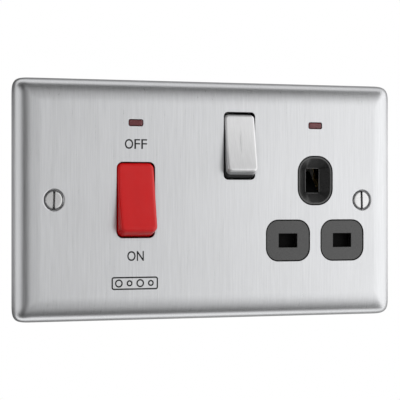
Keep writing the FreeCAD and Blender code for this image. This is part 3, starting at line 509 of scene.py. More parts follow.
@dataclass(frozen=True)
class BrushedSteel:
    """Steel brushed straight up and down, so that its gloss spreads sideways, with painted shade
    near walls.
    """

    name: str
    colour: Triple
    roughness: float = 0.3
    sideways: float = 0.55
    streak: float = 0.45 * MM
    streak_long: float = 14.0 * MM
    streak_tones: Range = (0.92, 1.07)
    clouds: Triple = (60.0, 60.0, 40.0)
    cloud_tones: Range = (0.985, 1.015)
    depth: float = 0.007 * MM
    # Painted shade: how far walls darken the colour, and the least share of it left.
    shade_reach: float = 2.5 * MM
    shade_share: float = 0.5

    def material(self) -> Material:
        """Build the node material.

        Returns:
            The material.
        """
        graph = Graph(self.name)
        across, along = 1 / self.streak, 1 / self.streak_long
        streaks = graph.noise((across, across / 3, along), 3.0)
        fine = graph.noise((across * 3, across, along * 2))
        mixed = graph.maths("MULTIPLY_ADD", streaks, 0.6, graph.maths("MULTIPLY", fine, 0.4))
        return graph.surface(
            self.colour,
            graph.product(
                graph.spread(mixed, *self.streak_tones),
                graph.spread(graph.noise(self.clouds), *self.cloud_tones),
                # painted shade in the dimples, at the openings and beside the rockers
                graph.painted_shade(self.shade_reach, self.shade_share),
            ),
            Roughness=graph.spread(mixed, self.roughness - 0.03, self.roughness + 0.04),
            Metallic=1.0,
            Anisotropic=self.sideways,
            Tangent=graph.add("CombineXYZ", X=1.0).outputs[0],
            Normal=graph.bump(mixed, 0.5, self.depth),
        )


@dataclass(frozen=True)
class PlainMetal:
    """Metal with a fine even texture, for screws, springs, strips and blocks, with painted shade
    near walls if it has a reach.
    """

    name: str
    colour: Triple
    roughness: float
    cell: float = 0.6 * MM
    stretch: float = 1.0
    blots: Triple = (260.0, 260.0, 260.0)
    tarnish: float = 0.06
    depth: float = 0.004 * MM
    bevel: float = 0.08 * MM
    # Painted shade near walls, off when the reach is 0.
    shade_reach: float = 0.0
    shade_share: float = 0.05

    def material(self) -> Material:
        """Build the node material.

        Returns:
            The material.
        """
        graph = Graph(self.name)
        close = 1 / self.cell
        grain = graph.noise((close, close, close / self.stretch), 3.0)
        blots = graph.noise(self.blots, 3.0)
        tone = graph.spread(blots, 1 - self.tarnish, 1 + self.tarnish / 2)
        # painted shade in slots and hollows
        if self.shade_reach:
            tone = graph.product(tone, graph.painted_shade(self.shade_reach, self.shade_share))
        return graph.surface(
            self.colour,
            tone,
            Roughness=graph.spread(grain, self.roughness * 0.8, self.roughness * 1.25),
            Metallic=1.0,
            Normal=graph.bump(grain, 0.4, self.depth, self.bevel),
        )


@dataclass(frozen=True)
class Moulded:
    """Moulded plastic with the faint spark-eroded texture of its tool."""

    name: str
    colour: Triple
    roughness: float
    gloss: float = 0.4
    cell: float = 0.35 * MM
    flow: Triple = (90.0, 90.0, 50.0)
    depth: float = 0.01 * MM
    bevel: float = 0.12 * MM

    def material(self) -> Material:
        """Build the node material.

        Returns:
            The material.
        """
        graph = Graph(self.name)
        close = 1 / self.cell
        grain = graph.noise((close, close, close))
        return graph.surface(
            self.colour,
            graph.spread(graph.noise(self.flow), 0.97, 1.03),
            Roughness=graph.spread(grain, self.roughness - 0.04, self.roughness + 0.05),
            Normal=graph.bump(grain, 0.35, self.depth, self.bevel),
            Specular_IOR_Level=self.gloss,
        )


@dataclass(frozen=True)
class ClearPlastic:
    """Tinted clear plastic or lamp glass."""

    name: str
    colour: Triple
    clear: float
    roughness: float = 0.12
    refraction: float = 1.49
    cells: Triple = (900.0, 900.0, 900.0)
    depth: float = 0.01 * MM

    def material(self) -> Material:
        """Build the node material.

        Returns:
            The material.
        """
        graph = Graph(self.name)
        grain = graph.noise(self.cells)
        return graph.surface(
            self.colour,
            graph.spread(grain, 0.9, 1.08),
            Roughness=graph.spread(grain, self.roughness * 0.8, self.roughness * 1.3),
            IOR=self.refraction,
            Transmission_Weight=self.clear,
            Normal=graph.bump(grain, 0.2, self.depth),
        )


Finish = BrushedSteel | PlainMetal | Moulded | ClearPlastic

FINISHES: dict[str, Finish] = {
    "brushed_steel": BrushedSteel("brushed_front", (0.632, 0.638, 0.65)),
    "cap_steel": BrushedSteel("brushed_cap", (0.69, 0.69, 0.695), roughness=0.32, sideways=0.35),
    # The fixing screws get painted shade in their slots.
    "screw_steel": PlainMetal(
        "fixing_screw_steel", (0.62, 0.62, 0.62), 0.2, shade_reach=1.2 * MM
    ),
    "red_plastic": Moulded("red_rocker", (0.51, 0.004, 0.005), 0.17, depth=0.002 * MM, bevel=0.0),
    "black_moulding": Moulded("black_front_moulding", (0.005, 0.005, 0.005), 0.3, gloss=1.0),
    "dark_plastic": Moulded("black_rocker_body", (0.02, 0.02, 0.021), 0.42),
    "shutter_plastic": Moulded("shutter_plastic", (0.003, 0.003, 0.003), 0.5, gloss=0.05),
    "housing_plastic": Moulded("housing_plastic", (0.70, 0.69, 0.66), 0.48),
    "plunger_plastic": Moulded("plunger_plastic", (0.75, 0.72, 0.62), 0.35),
    "resistor_body": Moulded("resistor_body", (0.55, 0.38, 0.20), 0.4),
    "zinc_steel": PlainMetal("zinc_plated", (0.66, 0.67, 0.65), 0.28),
    "clamp_steel": PlainMetal("clamp_screw_steel", (0.62, 0.61, 0.56), 0.3),
    "spring_steel": PlainMetal("spring_wire", (0.55, 0.55, 0.56), 0.25, bevel=0.03 * MM),
    "silver": PlainMetal("silver_tip", (0.80, 0.80, 0.78), 0.3),
    "brass": PlainMetal("brass", (0.72, 0.50, 0.20), 0.27, stretch=4.0, tarnish=0.12),
    "red_lens": ClearPlastic("red_lens", (0.16, 0.035, 0.04), 0.35),
    "lamp_glass": ClearPlastic("lamp_glass", (0.90, 0.80, 0.72), 0.8, roughness=0.05),
}

INK = Moulded("printed_ink", (0.010, 0.010, 0.011), 0.5, gloss=0.2, bevel=0.0)
# Near-black, almost matt paint for the rings of painted shadow in the pad gaps.
GAP_SHADOW_PAINT = Moulded("pad_seal", (0.002, 0.002, 0.002), 0.6, gloss=0.03, bevel=0.0)


@cache
def material_of(finish: Finish) -> Material:
    """The one material that all pieces of a finish share."""
    return finish.material()


def dress(piece: Thing, slot: str, finish: Finish | None = None) -> None:
    """Give a piece the finish of a slot, or one of its own within that slot.

    Args:
        piece: The piece.
        slot: Its slot.
        finish: Its own finish, if it has one.
    """
    piece.data.materials.clear()
    piece.data.materials.append(material_of(finish or FINISHES[slot]))


def dress_nodes() -> None:
    """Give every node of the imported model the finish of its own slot."""
    for part in frame["record"]["subparts"]:
        dress(frame["nodes"][part["node"]], part["material_slot"])
        log.info("dressed %s in %s", part["node"], part["material_slot"])


def settle(
    piece: Thing, slot: str, body: str, nodes: Iterable[str] = (), finish: Finish | None = None
) -> None:
    """Dress a new piece and say what it is.

    Args:
        piece: The piece.
        slot: Its slot.
        body: The body it rides on.
        nodes: The nodes it stands for.
        finish: Its own finish, if it has one.
    """
    dress(piece, slot, finish)
    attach(piece, body)
    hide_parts(*nodes)
    log.info("made %s on %s with %d faces", piece.name, body, len(piece.data.polygons))


# The steel front


def quarter_round(steps: int) -> Profile:
    """Shares of a quarter round, from its outer edge to its flat: how far in and how far out."""
    angles = [math.pi / 2 * step / steps for step in range(steps + 1)]
    return [(1 - math.cos(angle), math.sin(angle)) for angle in angles]


@dataclass
class SteelFront:
    """The pressed steel plate with its rolled edge, openings and screw dimples."""

    edge_run: float = 9.0 * MM
    corner_power: float = 5.0
    corner_steps: int = 20
    edge_steps: int = 28
    punched_edge: float = 0.16 * MM
    trim_edge: float = 0.05 * MM
    pad_play: float = 0.15 * MM
    fixing_apart: float = 120.6 * MM
    dimple_radius: float = 3.95 * MM
    dimple_deep: float = 2.1 * MM
    dimple_hole: float = 1.7 * MM
    dimple_soft: float = 0.15 * MM
    dimple_lip: float = 0.09 * MM
    boss_wall: float = 1.0 * MM
    cooker_opening: Outline = Outline(-29.8 * MM, 0.0, 14.5 * MM, 27.0 * MM, 2.2 * MM)
    switch_opening: Outline = Outline(10.4 * MM, 19.7 * MM, 12.3 * MM, 24.5 * MM, 1.6 * MM)
    neutral_pad: Outline = Outline(29.9 * MM, -14.9 * MM, 17.6 * MM, 15.1 * MM, 4.8 * MM)
    live_pad: Outline = Outline(52.1 * MM, -14.9 * MM, 17.6 * MM, 15.1 * MM, 4.8 * MM)
    earth_pad: Outline = Outline(41.0 * MM, 7.2 * MM, 14.1 * MM, 18.0 * MM, 6.0 * MM)
    cooker_lens: Outline = Outline(-29.8 * MM, 27.5 * MM, 5.6 * MM, 2.5 * MM, 0.7 * MM)
    socket_lens: Outline = Outline(41.0 * MM, 27.5 * MM, 5.6 * MM, 2.5 * MM, 0.7 * MM)

    def pads(self) -> tuple[Outline, Outline, Outline]:
        """The socket's three pads."""
        return self.neutral_pad, self.live_pad, self.earth_pad

    def edge_loops(self, inset: float, deep: float) -> list[Loop]:
        """Loops from the rim to the face along a quarter of an ellipse, soft at the corners.

        Args:
            inset: How far inside the plate's outline the rim is.
            deep: How far the face stands in front of the rim.

        Returns:
            The loops, rim first.
        """
        low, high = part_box("front_plate")
        loops = []
        for inward, outward in quarter_round(self.edge_steps):
            gone = inset + (self.edge_run - inset) * inward
            wide, tall = high.x - low.x - 2 * gone, high.z - low.z - 2 * gone
            corner = max(self.edge_run - gone, SMALLEST)
            outline = Outline(0.0, 0.0, wide, tall, corner, self.corner_power)
            loops.append(outline.loop(-deep * outward, self.corner_steps))
        return loops

    def punch(self, maker: Maker, outline: Outline, edge: float) -> None:
        """A tool for one opening, flared so that the punched edge comes out rounded.

        Args:
            maker: Takes the tool.
            outline: The opening.
            edge: The edge's radius.
        """
        flared = [outline.grown(edge).loop(FRONT - SHEET)]
        for inward, outward in quarter_round(5):
            flared.append(outline.grown(edge * (1 - outward)).loop(FRONT + edge * inward))
        flared.append(outline.loop(FRONT + 2 * SHEET))
        maker.skin(flared)

    def cone(self, maker: Maker, across: float, sizes: Profile) -> None:
        """A turned shell on a fixing screw's axis, from depths and radii."""
        maker.skin([circle(Vector((across, depth, 0)), radius) for depth, radius in sizes])

    def build(self) -> None:
        """Press, punch and dress the plate."""
        outer = self.edge_loops(0.0, -FRONT)
        inner = self.edge_loops(SHEET, -FRONT - SHEET)
        plate = Maker().skin(inner[::-1] + outer).finish("steel_front")
        slope = (self.dimple_radius - self.dimple_hole) / self.dimple_deep
        boss_end = self.dimple_hole + self.boss_wall
        boss_start = boss_end + slope * (self.dimple_deep - 0.5 * SHEET)
        back, soft = FRONT + self.dimple_deep, self.dimple_soft
        lip = self.dimple_radius + self.dimple_lip
        dimple = [
            (FRONT - SHEET, lip + soft),
            (FRONT, lip + soft),
            (FRONT + 0.25 * soft, lip + 0.1 * soft),
            (FRONT + soft, self.dimple_radius - slope * soft),
            (back, self.dimple_hole),
            (back + SHEET, self.dimple_hole),
        ]
        bosses, tools = Maker(), Maker()
        for x in (-self.fixing_apart / 2, self.fixing_apart / 2):
            self.cone(bosses, x, [(FRONT + 0.5 * SHEET, boss_start), (back, boss_end)])
            self.cone(tools, x, dimple)
        carve(plate, bosses.finish("bosses"), "UNION")
        for outline in (self.cooker_opening, self.switch_opening):
            self.punch(tools, outline, self.punched_edge)
        pads = [pad.grown(self.pad_play) for pad in self.pads()]
        for outline in (*pads, self.cooker_lens, self.socket_lens):
            self.punch(tools, outline, self.trim_edge)
        carve(plate, tools.finish("punch_tools"))
        settle(smooth(plate, 35), "brushed_steel", UNIT, ["front_plate"])


@dataclass
class PaintedGapShadow:
    """Painted shadow: near-black rings sunk into the gaps between the steel and the socket's pads.
    """

    front: SteelFront
    sunk: float = 0.06 * MM
    deep: float = 0.6 * MM
    play: float = 0.02 * MM
    inward: float = 0.28 * MM

    def build(self) -> None:
        """Lay one ring of painted shadow round each pad."""
        # Each ring stands in for the shadow in a gap, not for a real part.
        maker = Maker()
        for pad in self.front.pads():
            outer = pad.grown(self.front.pad_play - self.play)
            inner = pad.grown(-self.inward)
            maker.ring(outer, inner, FRONT + self.sunk, FRONT + self.deep)
        settle(maker.finish("pad_seals"), "black_moulding", UNIT, finish=GAP_SHADOW_PAINT)


# Rockers


@dataclass
class Rocker:
    """The outside of a rocker, drawn about its pivot and tilted to its resting place."""

    pivot: Triple
    wide: float
    face_half: float
    face_out: float
    end_half: float
    corner: float
    end_out: float = 1.7 * MM
    back: float = 0.2 * MM
    edge: float = 0.8 * MM
    sag: float = 0.5 * MM
    tilt: float = 10.0
    trunnion_radius: float = 1.6 * MM
    trunnion_long: float = 2.2 * MM
    trunnion_root: float = 0.5 * MM
    straight: int = 14
    edge_steps: int = 8
    face_rings: tuple[float, ...] = (0.12, 0.3, 0.55, 0.8, 0.97)

    def placed(self) -> Matrix:
        """Where the rocker rests."""
        return Matrix.Translation(self.pivot) @ Matrix.Rotation(-math.radians(self.tilt), 4, "X")

    def half_at(self, out: float) -> float:
        """Half the rocker's length at a height over its pivot."""
        share = (out - self.end_out) / (self.face_out - self.end_out)
        return self.end_half + (self.face_half - self.end_half) * min(max(share, 0.0), 1.0)

    def outline(self, out: float, inward: float = 0.0) -> Outline:
        """The rocker's outline at a height over its pivot."""
        full = Outline(0.0, 0.0, self.wide, 2 * self.half_at(out), self.corner)
        return full.grown(-inward)

    def ring(self, outline: Outline, depth: float) -> Loop:
        """A loop with enough points along its sides to follow the hollow face."""
        return outline.loop(depth, straight=self.straight)

    def dished(self, loop: Loop, weight: float = 1.0) -> Loop:
        """A loop of the face sunk into the shallow hollow that a finger rests in.

        Args:
            loop: The loop.
            weight: How much of the hollow it takes part in.

        Returns:
            The sunk loop.
        """
        sunk = []
        for point in loop:
            share = max(0.0, 1 - (point.z / self.face_half) ** 2)
            sunk.append(point + Vector((0, self.sag * share * weight, 0)))
        return sunk

    def side_loops(self, low: float, high: float, steps: int = 10) -> list[Loop]:
        """Loops up the flared sides between two heights."""
        heights = [low + (high - low) * n / steps for n in range(steps + 1)]
        return [self.ring(self.outline(out), -out) for out in heights]

    def face_loops(self) -> list[Loop]:
        """Loops over the rounded edge and into the hollow of the face.

        Returns:
            The loops, from the sides on.
        """
        loops = []
        for inward, outward in quarter_round(self.edge_steps):
            out = self.face_out - self.edge * (1 - outward)
            outline = self.outline(out, self.edge * inward)
            loops.append(self.dished(self.ring(outline, -out), outward))
        reach = self.wide / 2 - self.edge
        for share in self.face_rings:
            outline = self.outline(self.face_out, self.edge + reach * share)
            loops.append(self.dished(self.ring(outline, -self.face_out)))
        return loops

    def add_trunnions(self, maker: Maker) -> None:
        """The two pins that the rocker turns on.

        Args:
            maker: Takes them.
        """
        turned = self.placed() @ Matrix.Rotation(math.pi / 2, 4, "Z")
        for side in (-1, 1):
            near = (self.wide / 2 - self.trunnion_root) * side
            far = (self.wide / 2 + self.trunnion_long) * side
            loops = [circle(Vector((0, -at, 0)), self.trunnion_radius, 32) for at in (near, far)]
            maker.skin(loops, turned)


@dataclass
class CookerSwitch(Rocker):
    """The big red rocker."""

    pivot: Triple = (-29.8 * MM, -2.0 * MM, 0.0)
    wide: float = 14.0 * MM
    face_half: float = 12.3 * MM
    face_out: float = 6.35 * MM
    end_half: float = 13.4 * MM
    corner: float = 2.2 * MM
    edge: float = 1.25 * MM

    def build(self) -> None:
        """Make the red rocker in one smooth skin."""
        foot = [self.ring(self.outline(self.back), -self.back)]
        sides = self.side_loops(self.end_out, self.face_out - self.edge)
        maker = Maker().skin(foot + sides[:-1] + self.face_loops(), self.placed())
        self.add_trunnions(maker)
        rocker = smooth(maker.finish("red_rocker"), 50)
        settle(rocker, "red_plastic", "cooker_rocker", ["cooker_rocker"])


@dataclass
class SocketSwitch(Rocker):
    """The small rocker: a steel cap pressed over a black moulded body."""

    pivot: Triple = (10.4 * MM, -2.0 * MM, 19.7 * MM)
    wide: float = 11.8 * MM
    face_half: float = 10.4 * MM
    face_out: float = 6.2 * MM
    end_half: float = 12.15 * MM
    corner: float = 1.6 * MM
    skirt: float = 3.85 * MM
    cap_thick: float = 0.9 * MM
    seam: float = 0.12 * MM
    play: float = 0.05 * MM
    shoulder: float = 0.1 * MM
    roof_gap: float = 0.3 * MM

    def build(self) -> None:
        """Make the cap and the body below it."""
        inside = self.ring(self.outline(self.skirt, self.cap_thick), -self.skirt)
        ceiling = self.cap_thick + self.sag - self.face_out
        roof = self.ring(self.outline(self.face_out, self.cap_thick), ceiling)
        sides = self.side_loops(self.skirt, self.face_out - self.edge)
        cap = Maker().skin([roof, inside] + sides[:-1] + self.face_loops(), self.placed())
        piece = smooth(cap.finish("switch_cap"), 50)
        settle(piece, "cap_steel", "socket_rocker", ["socket_rocker_cap"])
        rise = self.outline(self.skirt, self.cap_thick + self.play)
        flush = self.outline(self.skirt, self.seam)
        foot = [self.ring(self.outline(self.back), -self.back)]
        flanks = self.side_loops(self.end_out, self.skirt, 4)
        shoulder = [self.ring(shape, self.shoulder - self.skirt) for shape in (flush, rise)]
        core = [self.ring(rise, ceiling + self.roof_gap)]
        body = Maker().skin(foot + flanks[:-1] + shoulder + core, self.placed())
        self.add_trunnions(body)
        piece = smooth(body.finish("switch_body"), 40)
        settle(piece, "dark_plastic", "socket_rocker", ["socket_rocker_dolly"])


# Screws


class Facing(Enum):
    """Which way a screw's head looks."""

    ROOM = 1
    WALL = -1


@dataclass(frozen=True)
class ScrewKind:
    """The thread and the slot that all screws of one kind have."""

    shank_radius: float
    pitch: float
    slot_wide: float
    slot_deep: float
    tip: float
    steps: int
    rows: int = 5
    thread_share: float = 0.55
    runout_share: float = 0.4
    start_share: float = 0.2


FIXING = ScrewKind(1.75 * MM, 0.6 * MM, 0.85 * MM, 1.4 * MM, tip=0.15 * MM, steps=40)
HOUSING = ScrewKind(1.1 * MM, 0.9 * MM, 0.8 * MM, 0.8 * MM, tip=0.48 * MM, steps=24)
CLAMP = ScrewKind(2.1 * MM, 0.7 * MM, 1.0 * MM, 1.2 * MM, tip=0.2 * MM, steps=32)

# How far each slot is turned, in degrees
FIXING_TURNS = {"left": 2.0, "right": -1.5}
HOUSING_TURNS = (20.0, -35.0, 65.0, 5.0)
CLAMP_TURNS = {
    "load_neutral": 10.0,
    "load_live": -20.0,
    "load_earth": 45.0,
    "supply_neutral": 80.0,
    "supply_live": -60.0,
    "supply_earth": 30.0,
}


@dataclass
class Screw:
    """A slotted screw along Y, drawn from the top of its head."""

    kind: ScrewKind
    top: Vector
    facing: Facing
    head: Profile
    long: float
    slot_turn: float

    def at(self, along: float) -> Vector:
        """The screw's middle some way down it."""
        return self.top + Vector((0, along * self.facing.value, 0))

    def thread(self) -> list[Loop]:
        """Loops of the threaded shank, whose radius follows a helix and runs out at the tip.

        Returns:
            The loops, from the head on.
        """
        kind = self.kind
        deep = kind.pitch * kind.thread_share
        start = self.head[-1][0] + kind.pitch * kind.start_share
        long = self.long - self.head[-1][0] - kind.tip
        loops = []
        count = int(long / kind.pitch * kind.rows)
        for row in range(count + 1):
            along = start + long * row / count
            worn = 1 - min(1.0, (count - row) / kind.rows)
            crest = kind.shank_radius - worn * deep * kind.runout_share
            points = []
            for n in range(kind.steps):
                angle = 2 * math.pi * n / kind.steps
                phase = (along / kind.pitch + self.facing.value * n / kind.steps) % 1
                radius = crest - deep * abs(2 * phase - 1)
                offset = Vector((math.cos(angle), 0, math.sin(angle))) * radius
                points.append(self.at(along) + offset)
            loops.append(points)
        return loops

    def add_to(self, maker: Maker, tools: Maker) -> None:
        """Add the screw's skin, and the tool that cuts its slot.

        Args:
            maker: Takes the skin.
            tools: Takes the tool.
        """
        kind = self.kind
        head = [circle(self.at(along), radius, kind.steps) for along, radius in self.head]
        maker.skin(head + self.thread())
        reach = max(radius for _, radius in self.head) + OVERRUN
        slot = Outline(0.0, 0.0, kind.slot_wide, 2 * reach, 0.0)
        ends = [slot.loop(depth, 1)[::2] for depth in (-OVERRUN, kind.slot_deep)]
        facing = Matrix.Rotation(0 if self.facing is Facing.ROOM else math.pi, 4, "Z")
        turned = Matrix.Rotation(math.radians(self.slot_turn), 4, "Y")
        tools.skin(ends, Matrix.Translation(self.top) @ turned @ facing)


def cut_screws(name: str, screws: Sequence[Screw]) -> Thing:
    """Make one piece of one or more screws.

    Args:
        name: The piece's name.
        screws: The screws.

    Returns:
        The piece, with the slots cut.
    """
    maker, tools = Maker(), Maker()
    for screw in screws:
        screw.add_to(maker, tools)
    piece = maker.finish(name)
    carve(piece, tools.finish("slot_tools"))
    return smooth(piece, 35)


def rounded(depth: float, radius: float, deep: float, wide: float, steps: int) -> Profile:
    """A quarter round as depths and radii, without its start at one depth and radius."""
    return [(depth + deep * u, radius + wide * v) for u, v in quarter_round(steps)[1:]]


def crowned(radius: float, rise: float, crown: float, soft: float) -> Profile:
    """A nearly flat head with a soft rim.

    Args:
        radius: The head's radius.
        rise: How far its middle stands over its rim.
        crown: How much of that is spread over its middle.
        soft: How wide the soft rim is.

    Returns:
        Depths and radii, from near the middle to the rim.
    """
    flat = radius - soft
    middle = [(crown * (n / 6) ** 2, flat * n / 6) for n in range(1, 7)]
    return middle + rounded(crown, flat, rise - crown, soft, 8)


@dataclass
class Screws:
    """All the screws: two in the front, four that close the housing and six clamps."""

    fixing_head: float = 3.3 * MM
    fixing_rise: float = 0.75 * MM
    fixing_crown: float = 0.06 * MM
    fixing_rim: float = 0.5 * MM
    fixing_side: float = 0.1 * MM
    fixing_neck: float = 1.4 * MM
    fixing_neck_end: float = -3.4 * MM
    countersink: float = 2.5 / 2.1
    housing_head: float = 2.5 * MM
    housing_head_rise: float = 0.6 * MM
    housing_head_deep: float = 1.5 * MM
    housing_head_step: float = 0.02 * MM
    housing_neck: float = 1.0 * MM
    clamp_chamfer: float = 0.3 * MM
    clamp_plain: float = 1.4 * MM

    def build(self) -> None:
        """Make every screw."""
        self.build_fixing()
        self.build_housing()
        self.build_clamps()

    def build_fixing(self) -> None:
        """The raised countersunk screws in the front."""
        taper = (self.fixing_head - self.fixing_neck) / self.countersink
        crown = crowned(self.fixing_head, self.fixing_rise, self.fixing_crown, self.fixing_rim)
        for side, turn in FIXING_TURNS.items():
            low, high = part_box(f"fixing_screw_{side}")
            head = crown + [
                (self.fixing_rise + self.fixing_side, self.fixing_head),
                (self.fixing_rise + taper, self.fixing_neck),
                (self.fixing_neck_end - low.y, self.fixing_neck),
            ]
            top = Vector(((low.x + high.x) / 2, low.y, 0))
            screw = Screw(FIXING, top, Facing.ROOM, head, high.y - low.y, turn)
            piece = cut_screws(f"front_screw_{side}", [screw])
            settle(piece, "screw_steel", UNIT, [f"fixing_screw_{side}"])

    def build_housing(self) -> None:
        """The pan-headed screws that close the housing, as one group."""
        low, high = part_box("housing_screws")
        head = rounded(0.0, 0.0, self.housing_head_rise, self.housing_head, 6) + [
            (self.housing_head_deep, self.housing_head),
            (self.housing_head_deep + self.housing_head_step, self.housing_neck),
        ]
        screws = [
            Screw(HOUSING, Vector((x, high.y, z)), Facing.WALL, head, high.y - low.y, turn)
            for turn, (x, z) in zip(HOUSING_TURNS, housing_screw_spots())
        ]
        piece = cut_screws("housing_screw_set", screws)
        settle(piece, "zinc_steel", UNIT, ["housing_screws"])

    def build_clamps(self) -> None:
        """The headless screws that clamp the wires."""
        chamfer, radius = self.clamp_chamfer, CLAMP.shank_radius
        head = [(0.0, radius - chamfer), (chamfer, radius), (self.clamp_plain, radius)]
        for name, turn in CLAMP_TURNS.items():
            node = f"{name}_screw"
            low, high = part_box(node)
            top = Vector(((low.x + high.x) / 2, high.y, (low.z + high.z) / 2))
            screw = Screw(CLAMP, top, Facing.WALL, head, high.y - low.y, turn)
            piece = cut_screws(f"{name}_clamp", [screw])
            settle(piece, "clamp_steel", node, [node])


def housing_screw_spots() -> Profile:
    """The middles of the separate heads in the housing screws' node, across and up.

    Returns:
        The middles, from left to right.
    """
    mesh = bmesh.new()
    mesh.from_mesh(frame["nodes"]["housing_screws"].data)
    bmesh.ops.remove_doubles(mesh, verts=mesh.verts, dist=2 * WELD)
    left = set(mesh.verts)
    spots = []
    while left:
        shell = [left.pop()]
        for vert in shell:
            for edge in vert.link_edges:
                other = edge.other_vert(vert)
                if other in left:
                    left.remove(other)
                    shell.append(other)
        xs, zs = [v.co.x for v in shell], [v.co.z for v in shell]
        spots.append(((min(xs) + max(xs)) / 2, (min(zs) + max(zs)) / 2))
    mesh.free()
    return sorted(spots)


# The shutter's spring


@dataclass
class ShutterSpring:
    """The coil under the shutter, wound at rest; in the real switch it shortens as the shutter
    slides down on it.
    """

    node: str = "shutter_spring"
    wire: float = 0.5 * MM
    turns: float = 6.5
    flat_turns: float = 0.8
    chords: int = 28
    sides: int = 10
    travel: float = 6.5 * MM

    def ring(self, turned: float, low: Vector, high: Vector) -> Loop:
        """The wire's outline some way along the coil.

        Args:
            turned: How many turns lie below it.
            low: The lowest corner of the spring's box.
            high: The highest corner.

        Returns:
            The points round the wire.
        """
        middle = (low + high) / 2
        angle = 2 * math.pi * turned
        outward = Vector((math.cos(angle), math.sin(angle), 0))
        climb = (turned - self.flat_turns) / (self.turns - 2 * self.flat_turns)
        half = self.wire / 2
        bottom, top = low.z + half, high.z - half
        height = bottom + (top - bottom) * min(max(climb, 0.0), 1.0)
        centre = Vector((middle.x, middle.y, height)) + outward * ((high.x - low.x) / 2 - half)
        steps = [2 * math.pi * n / self.sides for n in range(self.sides)]
        return [
            centre + outward * (half * math.cos(step)) + Vector((0, 0, half * math.sin(step)))
            for step in steps
        ]

    def build(self) -> None:
        """Wind the spring at rest."""
        low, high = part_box(self.node)
        count = int(self.turns * self.chords)
        loops = [self.ring(self.turns * n / count, low, high) for n in range(count + 1)]
        piece = smooth(Maker().skin(loops).finish("shutter_coil"), 60)
        settle(piece, "spring_steel", UNIT, [self.node])
        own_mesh(piece)


# Lettering and the lenses


class Word(Enum):
    """The switch positions that are printed on the front, with the places of their middles."""

    OFF = (-29.8 * MM, 19.92 * MM)
    ON = (-29.95 * MM, -19.92 * MM)


LETTER_WIDE = {"O": 0.90, "F": 0.62, "N": 0.76}
LETTER_BOLD = {"O": 0.035, "F": 0.01, "N": 0.035}


@dataclass
class Print:
    """What is printed on the steel: the switch positions and a hob with four rings."""

    thick: float = 0.02 * MM
    letter_high: float = 3.5 * MM
    letter_gap: float = 0.46 * MM
    hob: Outline = Outline(-30.2 * MM, -29.6 * MM, 17.6 * MM, 4.6 * MM, 0.9 * MM)
    line: float = 0.5 * MM
    end_room: float = 0.35
    ring_radii: tuple[float, ...] = (1.45 * MM, 1.1 * MM, 1.45 * MM, 1.1 * MM)

    def build(self) -> None:
        """Print the words and the hob."""
        for word in Word:
            across, up = word.value
            widths = [LETTER_WIDE[letter] * self.letter_high for letter in word.name]
            at = across - (sum(widths) + self.letter_gap * (len(widths) - 1)) / 2
            for n, (letter, wide) in enumerate(zip(word.name, widths)):
                name = f"print_{word.name}_{n + 1}"
                self.build_letter(name, letter, (at + wide / 2, up, wide))
                at += wide + self.letter_gap
        self.build_hob()

    def build_letter(self, name: str, letter: str, cell: Triple) -> None:
        """One letter, stretched to its cell.

        Args:
            name: The piece's name.
            letter: What it says.
            cell: The cell's middle, across and up, and its width.
        """
        across, up, wide = cell
        curve = bpy.data.curves.new(name, "FONT")
        curve.body = letter
        curve.size = self.letter_high
        curve.extrude = 0.5
        curve.offset = LETTER_BOLD[letter] * MM
        curve.resolution_u = 6
        text = link(name, curve)
        data = evaluated(text)
        bpy.data.objects.remove(text)
        low = Vector([min(v.co[n] for v in data.vertices) for n in range(3)])
        full = Vector([max(v.co[n] for v in data.vertices) for n in range(3)]) - low
        for vert in data.vertices:
            share = [(vert.co[n] - low[n]) / full[n] for n in range(3)]
            x = across + (share[0] - 0.5) * wide
            z = up + (share[1] - 0.5) * self.letter_high
            vert.co = Vector((x, FRONT - self.thick * share[2], z))
        settle(link(name, data), "black_moulding", UNIT, finish=INK)

    def build_hob(self) -> None:
        """A landscape frame with four rings in a row."""
        maker = Maker()
        front = FRONT - self.thick
        maker.ring(self.hob, self.hob.grown(-self.line), front, FRONT)
        count = len(self.ring_radii)
        step = self.hob.wide / (count + self.end_room)
        for n, radius in enumerate(self.ring_radii):
            across = self.hob.across + (n - (count - 1) / 2) * step
            ring = Outline(across, self.hob.up, 2 * radius, 2 * radius, radius)
            maker.ring(ring, ring.grown(-self.line), front, FRONT)
        settle(maker.finish("hob_pictogram"), "black_moulding", UNIT, finish=INK)


@dataclass
class Lens:
    """A small clear red window with a domed front and a flange behind the steel."""

    node: str
    opening: Outline
    gap: float = 0.2 * MM
    crown: float = 0.25 * MM
    dome_run: float = 0.5 * MM
    flat_inset: float = 1.0 * MM
    flange_thick: float = 0.8 * MM
    flange_corner: float = 0.8 * MM

    def build(self) -> None:
        """Make the lens that stands for its node, clear of its opening all round."""
        low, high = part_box(self.node)
        across, up = (low.x + high.x) / 2, (low.z + high.z) / 2
        flange = Outline(across, up, high.x - low.x, high.z - low.z, self.flange_corner)
        window = self.opening.grown(-self.gap)
        step, rim = high.y - self.flange_thick, low.y + self.crown
        loops = [flange.loop(high.y), flange.loop(step), window.loop(step), window.loop(rim)]
        for inward, outward in quarter_round(5):
            dome = window.grown(-self.dome_run * inward)
            loops.append(dome.loop(low.y + self.crown * (1 - outward)))
        loops.append(window.grown(-self.flat_inset).loop(low.y))
        piece = Maker().skin(loops).finish(self.node.replace("lens", "window"))
        settle(smooth(piece, 30), "red_lens", UNIT, [self.node])


# Studio


